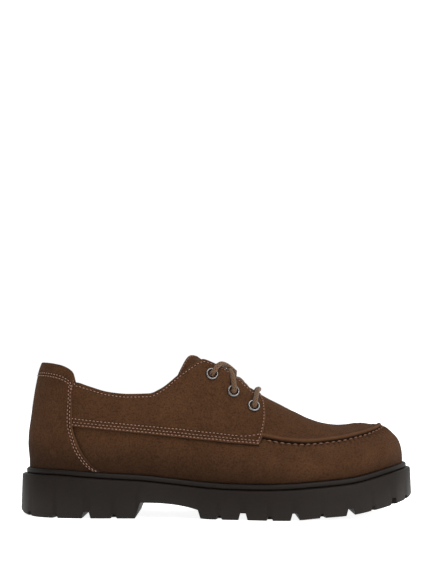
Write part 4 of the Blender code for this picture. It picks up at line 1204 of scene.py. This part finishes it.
insole_inset = UPPER_SET_IN + WALL + GAP
footprint("insole_sock", [level(edge_height, insole_inset + inset, offset) for inset, offset in (
    (0.0, 0.0), (0.0, INSOLE_THICKNESS - 0.001), (0.0004, INSOLE_THICKNESS - 0.0003),
    (0.0012, INSOLE_THICKNESS))], SOCK, "insole", ["insole"])
# The step has a rounded shoulder, and a groove against the outsole
footprint("welt_rubber", [level(ledge_height, STEP_SET_IN + inset, offset) for inset, offset in (
    (0.0010, -0.0004), (0.0010, 0.0004), (0.0002, 0.0009), (0.0, 0.0015), (0.0, STEP_HEIGHT - 0.0012),
    (0.0003, STEP_HEIGHT - 0.0004), (0.0010, STEP_HEIGHT + 0.0001), (0.0020, STEP_HEIGHT + GAP))],
    RUBBER, "rubber", ["welt"])


def outsole():
    # Sole with rounded arrises, and a rib at each bend of its underside
    bends = np.arccos(2 * UNDERSIDE["at"][4:9] - 1)
    turns = [turn for turn in even_turns(200, 0.0) if np.min(np.abs(bends - turn)) > 0.004]
    turns = np.array(sorted(turns + list(bends)))
    levels = [level(underside_height, inset, offset)
              for inset, offset in ((0.0012, 0.0), (0.0003, 0.0004), (0.0, 0.0012))]
    levels += [level(ledge_height, SIDE_FLARE + inset, offset)
               for inset, offset in ((-0.0001, -0.0012), (0.0003, -0.0004), (0.0012, 0.0))]
    rings, faces = ring_wall(turns, levels, own_height=False)
    around = len(rings[0])
    for k, flip in ((0, False), (len(rings) - 1, True)):
        for i in range(len(turns) - 1):
            a, b = k * around + i, k * around + i + 1
            c = k * around + (around - i) % around
            d = k * around + (around - i - 1) % around
            f = [a, b, d, c]
            f = [v for n, v in enumerate(f) if v != f[n - 1]]
            faces.append(tuple(f) if flip else tuple(f[::-1]))
    return piece("outsole_rubber", np.concatenate(rings), faces, RUBBER, "rubber", ["outsole"])


def groove(points, faces, start, end, width, depth):
    # Bar with tapered sides between two places on the ground
    ahead = Vector((end[0] - start[0], end[1] - start[1], 0.0)).normalized()
    across = Vector((-ahead.y, ahead.x, 0.0))
    base = len(points)
    corners = ((-1, -LUG_GAP_BELOW, 1.0), (1, -LUG_GAP_BELOW, 1.0), (1, 0.0, 1.0),
               (1, depth, LUG_GAP_TAPER), (-1, depth, LUG_GAP_TAPER), (-1, 0.0, 1.0))
    for place in (start, end):
        for side, rise, share_wide in corners:
            spot = Vector((place[0], place[1], 0.0)) + across * side * width / 2 * share_wide
            points.append((spot.x, spot.y, place[2] + rise))
    n = len(corners)
    faces.append(tuple(base + k for k in range(n)))
    faces.append(tuple(base + n + k for k in reversed(range(n))))
    faces += [(base + k, base + n + k, base + n + (k + 1) % n, base + (k + 1) % n) for k in range(n)]


def lug_gap_end(side, at, reach):
    x, y, nx, ny = outline(math.acos(2 * at - 1), side, 0.0)
    return float(x + nx * reach), float(y + ny * reach), float(underside_height(x))


sole = outsole()
gap_points, gap_faces = [], []
for at, large, across in zip(LUG_GAPS["at"], LUG_GAPS["large"], LUG_GAPS["across"]):
    wide = LUG_GAP_WIDTH if large else LUG_GAP_NARROW
    high = LUG_GAP_DEEP if large else LUG_GAP_SHALLOW
    ends = [lug_gap_end(side, at, LUG_GAP_OUTSIDE) for side in (-1, 1)]
    if across:
        groove(gap_points, gap_faces, *ends, wide, high)
        continue
    for side, outer_end in zip((-1, 1), ends):
        x, y, _ = lug_gap_end(side, at, -LUG_GAP_REACH)
        groove(gap_points, gap_faces, outer_end, (x, y, outer_end[2]), wide, high)
cutter_mesh = bpy.data.meshes.new("lug_gaps")
cutter_mesh.from_pydata(gap_points, [], gap_faces)
change_faces(cutter_mesh, bmesh.ops.recalc_face_normals)
cutter = bpy.data.objects.new("lug_gaps", cutter_mesh)
bpy.context.scene.collection.objects.link(cutter)
change_faces(sole.data, bmesh.ops.recalc_face_normals)
modifier = sole.modifiers.new("lug_gaps", "BOOLEAN")
modifier.operation = "DIFFERENCE"
modifier.solver = "EXACT"
modifier.object = cutter
bpy.context.view_layer.update()
cut_mesh = bpy.data.meshes.new_from_object(sole.evaluated_get(bpy.context.evaluated_depsgraph_get()))
sole.modifiers.clear()
sole.data = cut_mesh
bpy.data.objects.remove(cutter)
sole.data.set_sharp_from_angle(angle=math.radians(32))


# Eyelets

EYELET_SIDES = 40
FLANGE_STEPS = 10
FLANGE_ROUND = 0.0010


def turned(profile, middle, axis, sides):
    first = axis.orthogonal().normalized()
    second = axis.cross(first)
    points = []
    for k in range(sides):
        angle = 2 * math.pi * k / sides
        ray = first * math.cos(angle) + second * math.sin(angle)
        points += [tuple(middle + ray * r + axis * h) for r, h in profile]
    n = len(profile)
    faces = []
    for k in range(sides):
        a, b = k * n, ((k + 1) % sides) * n
        faces += [(a + j, b + j, b + (j + 1) % n, a + (j + 1) % n) for j in range(n)]
    return points, faces


PLACES = {}
hole, barrel, rim_r = EYELET_HOLE / 2, EYELET_BARREL / 2, EYELET_ACROSS / 2
depth = TOP_OF_PANEL + WALL + 0.0001
seat = EYELET_LIFT - 0.0005
width = (rim_r - hole) / 2
profile = [(hole, -depth), (barrel, -depth), (barrel, seat), (rim_r, seat)]
for k in range(FLANGE_STEPS + 1):
    angle = math.pi * k / FLANGE_STEPS
    profile.append((hole + width + width * math.cos(angle), seat + 0.0002 + FLANGE_ROUND * math.sin(angle)))
for side, word in ((-1, "outer"), (1, "inner")):
    for number in range(3):
        way, s_here = find(side, float(EYELETS["at"][number]), float(EYELETS["height"][number]))
        axis = outward(np.array(side * way), np.array(s_here))
        middle = last(np.array(side * way), np.array(s_here)) + axis * TOP_OF_PANEL
        PLACES[(side, number)] = (Vector(middle), Vector(axis), way, s_here)
        points, faces = turned(profile, Vector(middle), Vector(axis), EYELET_SIDES)
        piece("eyelet_%s_%d_nickel" % (word, number + 1), points, faces, NICKEL, "eyelet",
              ["eyelet_%s_%d" % (word, number + 1)])


# Lace


def curve_through(points, steps):
    pts = [points[0] * 2 - points[1]] + points + [points[-1] * 2 - points[-2]]
    path = []
    for k in range(1, len(pts) - 2):
        a, b, c, d = pts[k - 1:k + 3]
        for n in range(steps):
            u = n / steps
            path.append(0.5 * ((2 * b) + (c - a) * u + (2 * a - 5 * b + 4 * c - d) * u * u
                               + (3 * b - a - 3 * c + d) * u * u * u))
    path.append(points[-1])
    return path


def cord_mesh(name, path, across, nodes=(), sides=20):
    points, uv = [], []
    ahead = (path[1] - path[0]).normalized()
    side = ahead.orthogonal().normalized()
    run = 0.0
    for k, spot in enumerate(path):
        before, after = path[max(k - 1, 0)], path[min(k + 1, len(path) - 1)]
        if k:
            run += (spot - path[k - 1]).length
        ahead = (after - before).normalized()
        side = (side - ahead * side.dot(ahead)).normalized()
        other = ahead.cross(side)
        for n in range(sides + 1):
            angle = 2 * math.pi * n / sides
            points.append(tuple(spot + (side * math.cos(angle) + other * math.sin(angle)) * across / 2))
            uv.append((run / BRAID_REPEAT, n / sides))
    m = sides + 1
    faces = []
    for k in range(len(path) - 1):
        faces += [(k * m + j, (k + 1) * m + j, (k + 1) * m + j + 1, k * m + j + 1) for j in range(sides)]
    return piece(name, points, faces, CORD, "lace", nodes, uv=uv)


def spot_over(side, way, s, lift):
    return Vector(skin(np.array(side * way), np.array(s), np.array(lift)))


CORD_STEPS = 14
WAY_PARTS = (0.30, 0.62)
# Depth of the cord's end in the eyelet, height in the hole, and its bend out of the eyelet
END_DEEP = 0.0050
END_HIGH = 0.0004
BEND_HIGH = 0.0010
BEND = LACE_ACROSS * 0.60


def strand(name, start, end, mid_way, middle_lift, nodes):
    # Cord from one eyelet over the tongue to another, bent down into both
    over = TOP_OF_PANEL + EYELET_LIFT + LACE_ACROSS / 2
    (m0, a0, w0, s0), (m1, a1, w1, s1) = PLACES[start], PLACES[end]

    def beside(hand, way, s, part):
        return spot_over(hand, way + (mid_way - way) * part, s + (1 - s) * part,
                         over + (middle_lift - over) * part)

    run = [beside(start[0], w0, s0, part) for part in WAY_PARTS]
    run.append(spot_over(start[0], mid_way, 1.0, middle_lift))
    run += [beside(end[0], w1, s1, part) for part in WAY_PARTS[::-1]]
    head = []
    for (middle, axis), toward in zip(((m0, a0), (m1, a1)), (run[0], run[-1])):
        flat_way = toward - middle
        flat_way = (flat_way - axis * flat_way.dot(axis)).normalized()
        head.append([middle - axis * END_DEEP, middle + axis * END_HIGH,
                     middle + flat_way * BEND * 0.45 + axis * (BEND_HIGH + BEND * 0.70)])
    return cord_mesh(name, curve_through(head[0] + run + head[1][::-1], CORD_STEPS), LACE_ACROSS, nodes)


strand("lace_bar_cord", (-1, 2), (1, 2), LACE_BAR_WAY, LACE_ACROSS / 2 + 0.0006, ["lace_bar"])
strand("lace_low_cord", (-1, 1), (1, 0), LACE_LOW_WAY, 0.0, ["lace_cross_low"])
strand("lace_high_cord", (1, 1), (-1, 0), LACE_HIGH_WAY, LACE_ACROSS * 0.85, ["lace_cross_high"])

# Shares of the way to the middle and up from the facing's edge, and how far the strand lies off the shape
UNDER_PARTS = ((0.05, -0.45, -0.0014), (0.25, -0.10, -0.0012), (0.45, 0.25, -0.0010))
UNDER_MIDDLE = (0.72, 0.62, -0.0004)


def inner_strand(name, start, end, middle_lift):
    # Strand that lies on the tongue and runs in under both facings
    mid_way = (PLACES[start][2] + PLACES[end][2]) / 2
    part, up, off = UNDER_MIDDLE
    places = UNDER_PARTS + ((part, up, middle_lift / 2 + off),)
    halves = []
    for side, number in (start, end):
        way = PLACES[(side, number)][2]
        edge = float(top_share(np.array(side * way)))
        halves.append([spot_over(side, way + (mid_way - way) * part, edge + (1 - edge) * up, lift)
                       for part, up, lift in places])
    path = halves[0] + [spot_over(start[0], mid_way, 1.0, middle_lift)] + halves[1][::-1]
    cord_mesh(name, curve_through(path, 10), LACE_ACROSS * 0.8)


inner_strand("lace_under_low", (-1, 2), (1, 1), -0.0016)
inner_strand("lace_under_high", (1, 2), (-1, 1), 0.0002)


# Threads of the toe seam, and all sewn rows as one piece

TOE_SEAM_END = 0.405
TOE_SEAM_LOW = 0.018
seam_t = np.linspace(-TOE_SEAM_END, TOE_SEAM_END, 600)
seam_s = np.full_like(seam_t, SEAM_AT - TOE_SEAM_LOW)
threads = stitch_row(skin(seam_t, seam_s, np.full_like(seam_t, 0.0001)), outward(seam_t, seam_s),
                     MOC_PITCH, MOC_LENGTH, MOC_THREAD, 0.0002, 40)
piece("toe_seam_threads", *threads, WAXED, "suede")
piece("stitches", *joined(SEWN), SEWING, "suede")


# Studio


def backlit(name, code, glow):
    # Frosted acrylic of a shooting table that is lit from below
    r = Recipe(name)
    r.set(Base_Color=colour(code), Roughness=0.9, Emission_Color=(1, 1, 1, 1), Emission_Strength=glow)
    return r.material


bpy.ops.mesh.primitive_plane_add(size=12.0, location=(0, 0, 0))
floor = bpy.context.object
floor.name = "floor"
floor.data.materials.append(backlit("acrylic", "#f4f4f4", 0.90))


def lamp(name, place, aim, size, power):
    light = bpy.data.lights.new(name, "AREA")
    light.shape = "RECTANGLE"
    light.size, light.size_y = size
    light.energy = power
    thing = bpy.data.objects.new(name, light)
    thing.location = place
    thing.rotation_euler = (Vector(aim) - Vector(place)).to_track_quat("-Z", "Y").to_euler()
    bpy.context.scene.collection.objects.link(thing)


lamp("top_softbox", (0.32, -0.45, 1.20), (0.04, 0, 0.05), (1.1, 0.9), 19)
lamp("side_softbox", (0.9, -0.9, 0.5), (0.04, 0, 0.05), (0.7, 0.7), 4)
# White backdrop behind the shoe, dimmer room in front of it
ROOM = 0.16
BACKDROP_FROM = 0.35
world = bpy.data.worlds.new("studio")
bpy.context.scene.world = world
world.use_nodes = True
sky = world.node_tree.nodes
ground = next(n for n in sky if n.type == "BACKGROUND")
way_out = sky.new("ShaderNodeTexCoord")
parts = sky.new("ShaderNodeSeparateXYZ")
fall = sky.new("ShaderNodeValToRGB")
for socket, into in ((way_out.outputs["Generated"], parts.inputs["Vector"]),
                     (parts.outputs["Y"], fall.inputs["Fac"]),
                     (fall.outputs["Color"], ground.inputs["Color"])):
    world.node_tree.links.new(socket, into)
for mark, place, grey in zip(fall.color_ramp.elements, (0.0, BACKDROP_FROM), (ROOM, 1.0)):
    mark.position = place
    mark.color = (grey, grey, grey, 1)
ground.inputs["Strength"].default_value = 1.02

# Camera: level, at the height of the collar, long lens
CAMERA_AWAY = 0.80
CAMERA_HEIGHT = 0.0923
FOCAL_PIXELS = 1022.0
RISE_PIXELS = 105.5
FRAME_PIXELS = 579.0
SENSOR = 36.0
camera_data = bpy.data.cameras.new("camera")
camera_data.sensor_width = SENSOR
camera_data.lens = FOCAL_PIXELS / FRAME_PIXELS * SENSOR
camera_data.shift_y = RISE_PIXELS / FRAME_PIXELS
camera = bpy.data.objects.new("camera", camera_data)
camera.location = (0.0, -CAMERA_AWAY, CAMERA_HEIGHT)
camera.rotation_euler = (math.radians(90), 0, 0)
bpy.context.scene.collection.objects.link(camera)
bpy.context.scene.camera = camera
bpy.context.scene.view_settings.view_transform = "Standard"
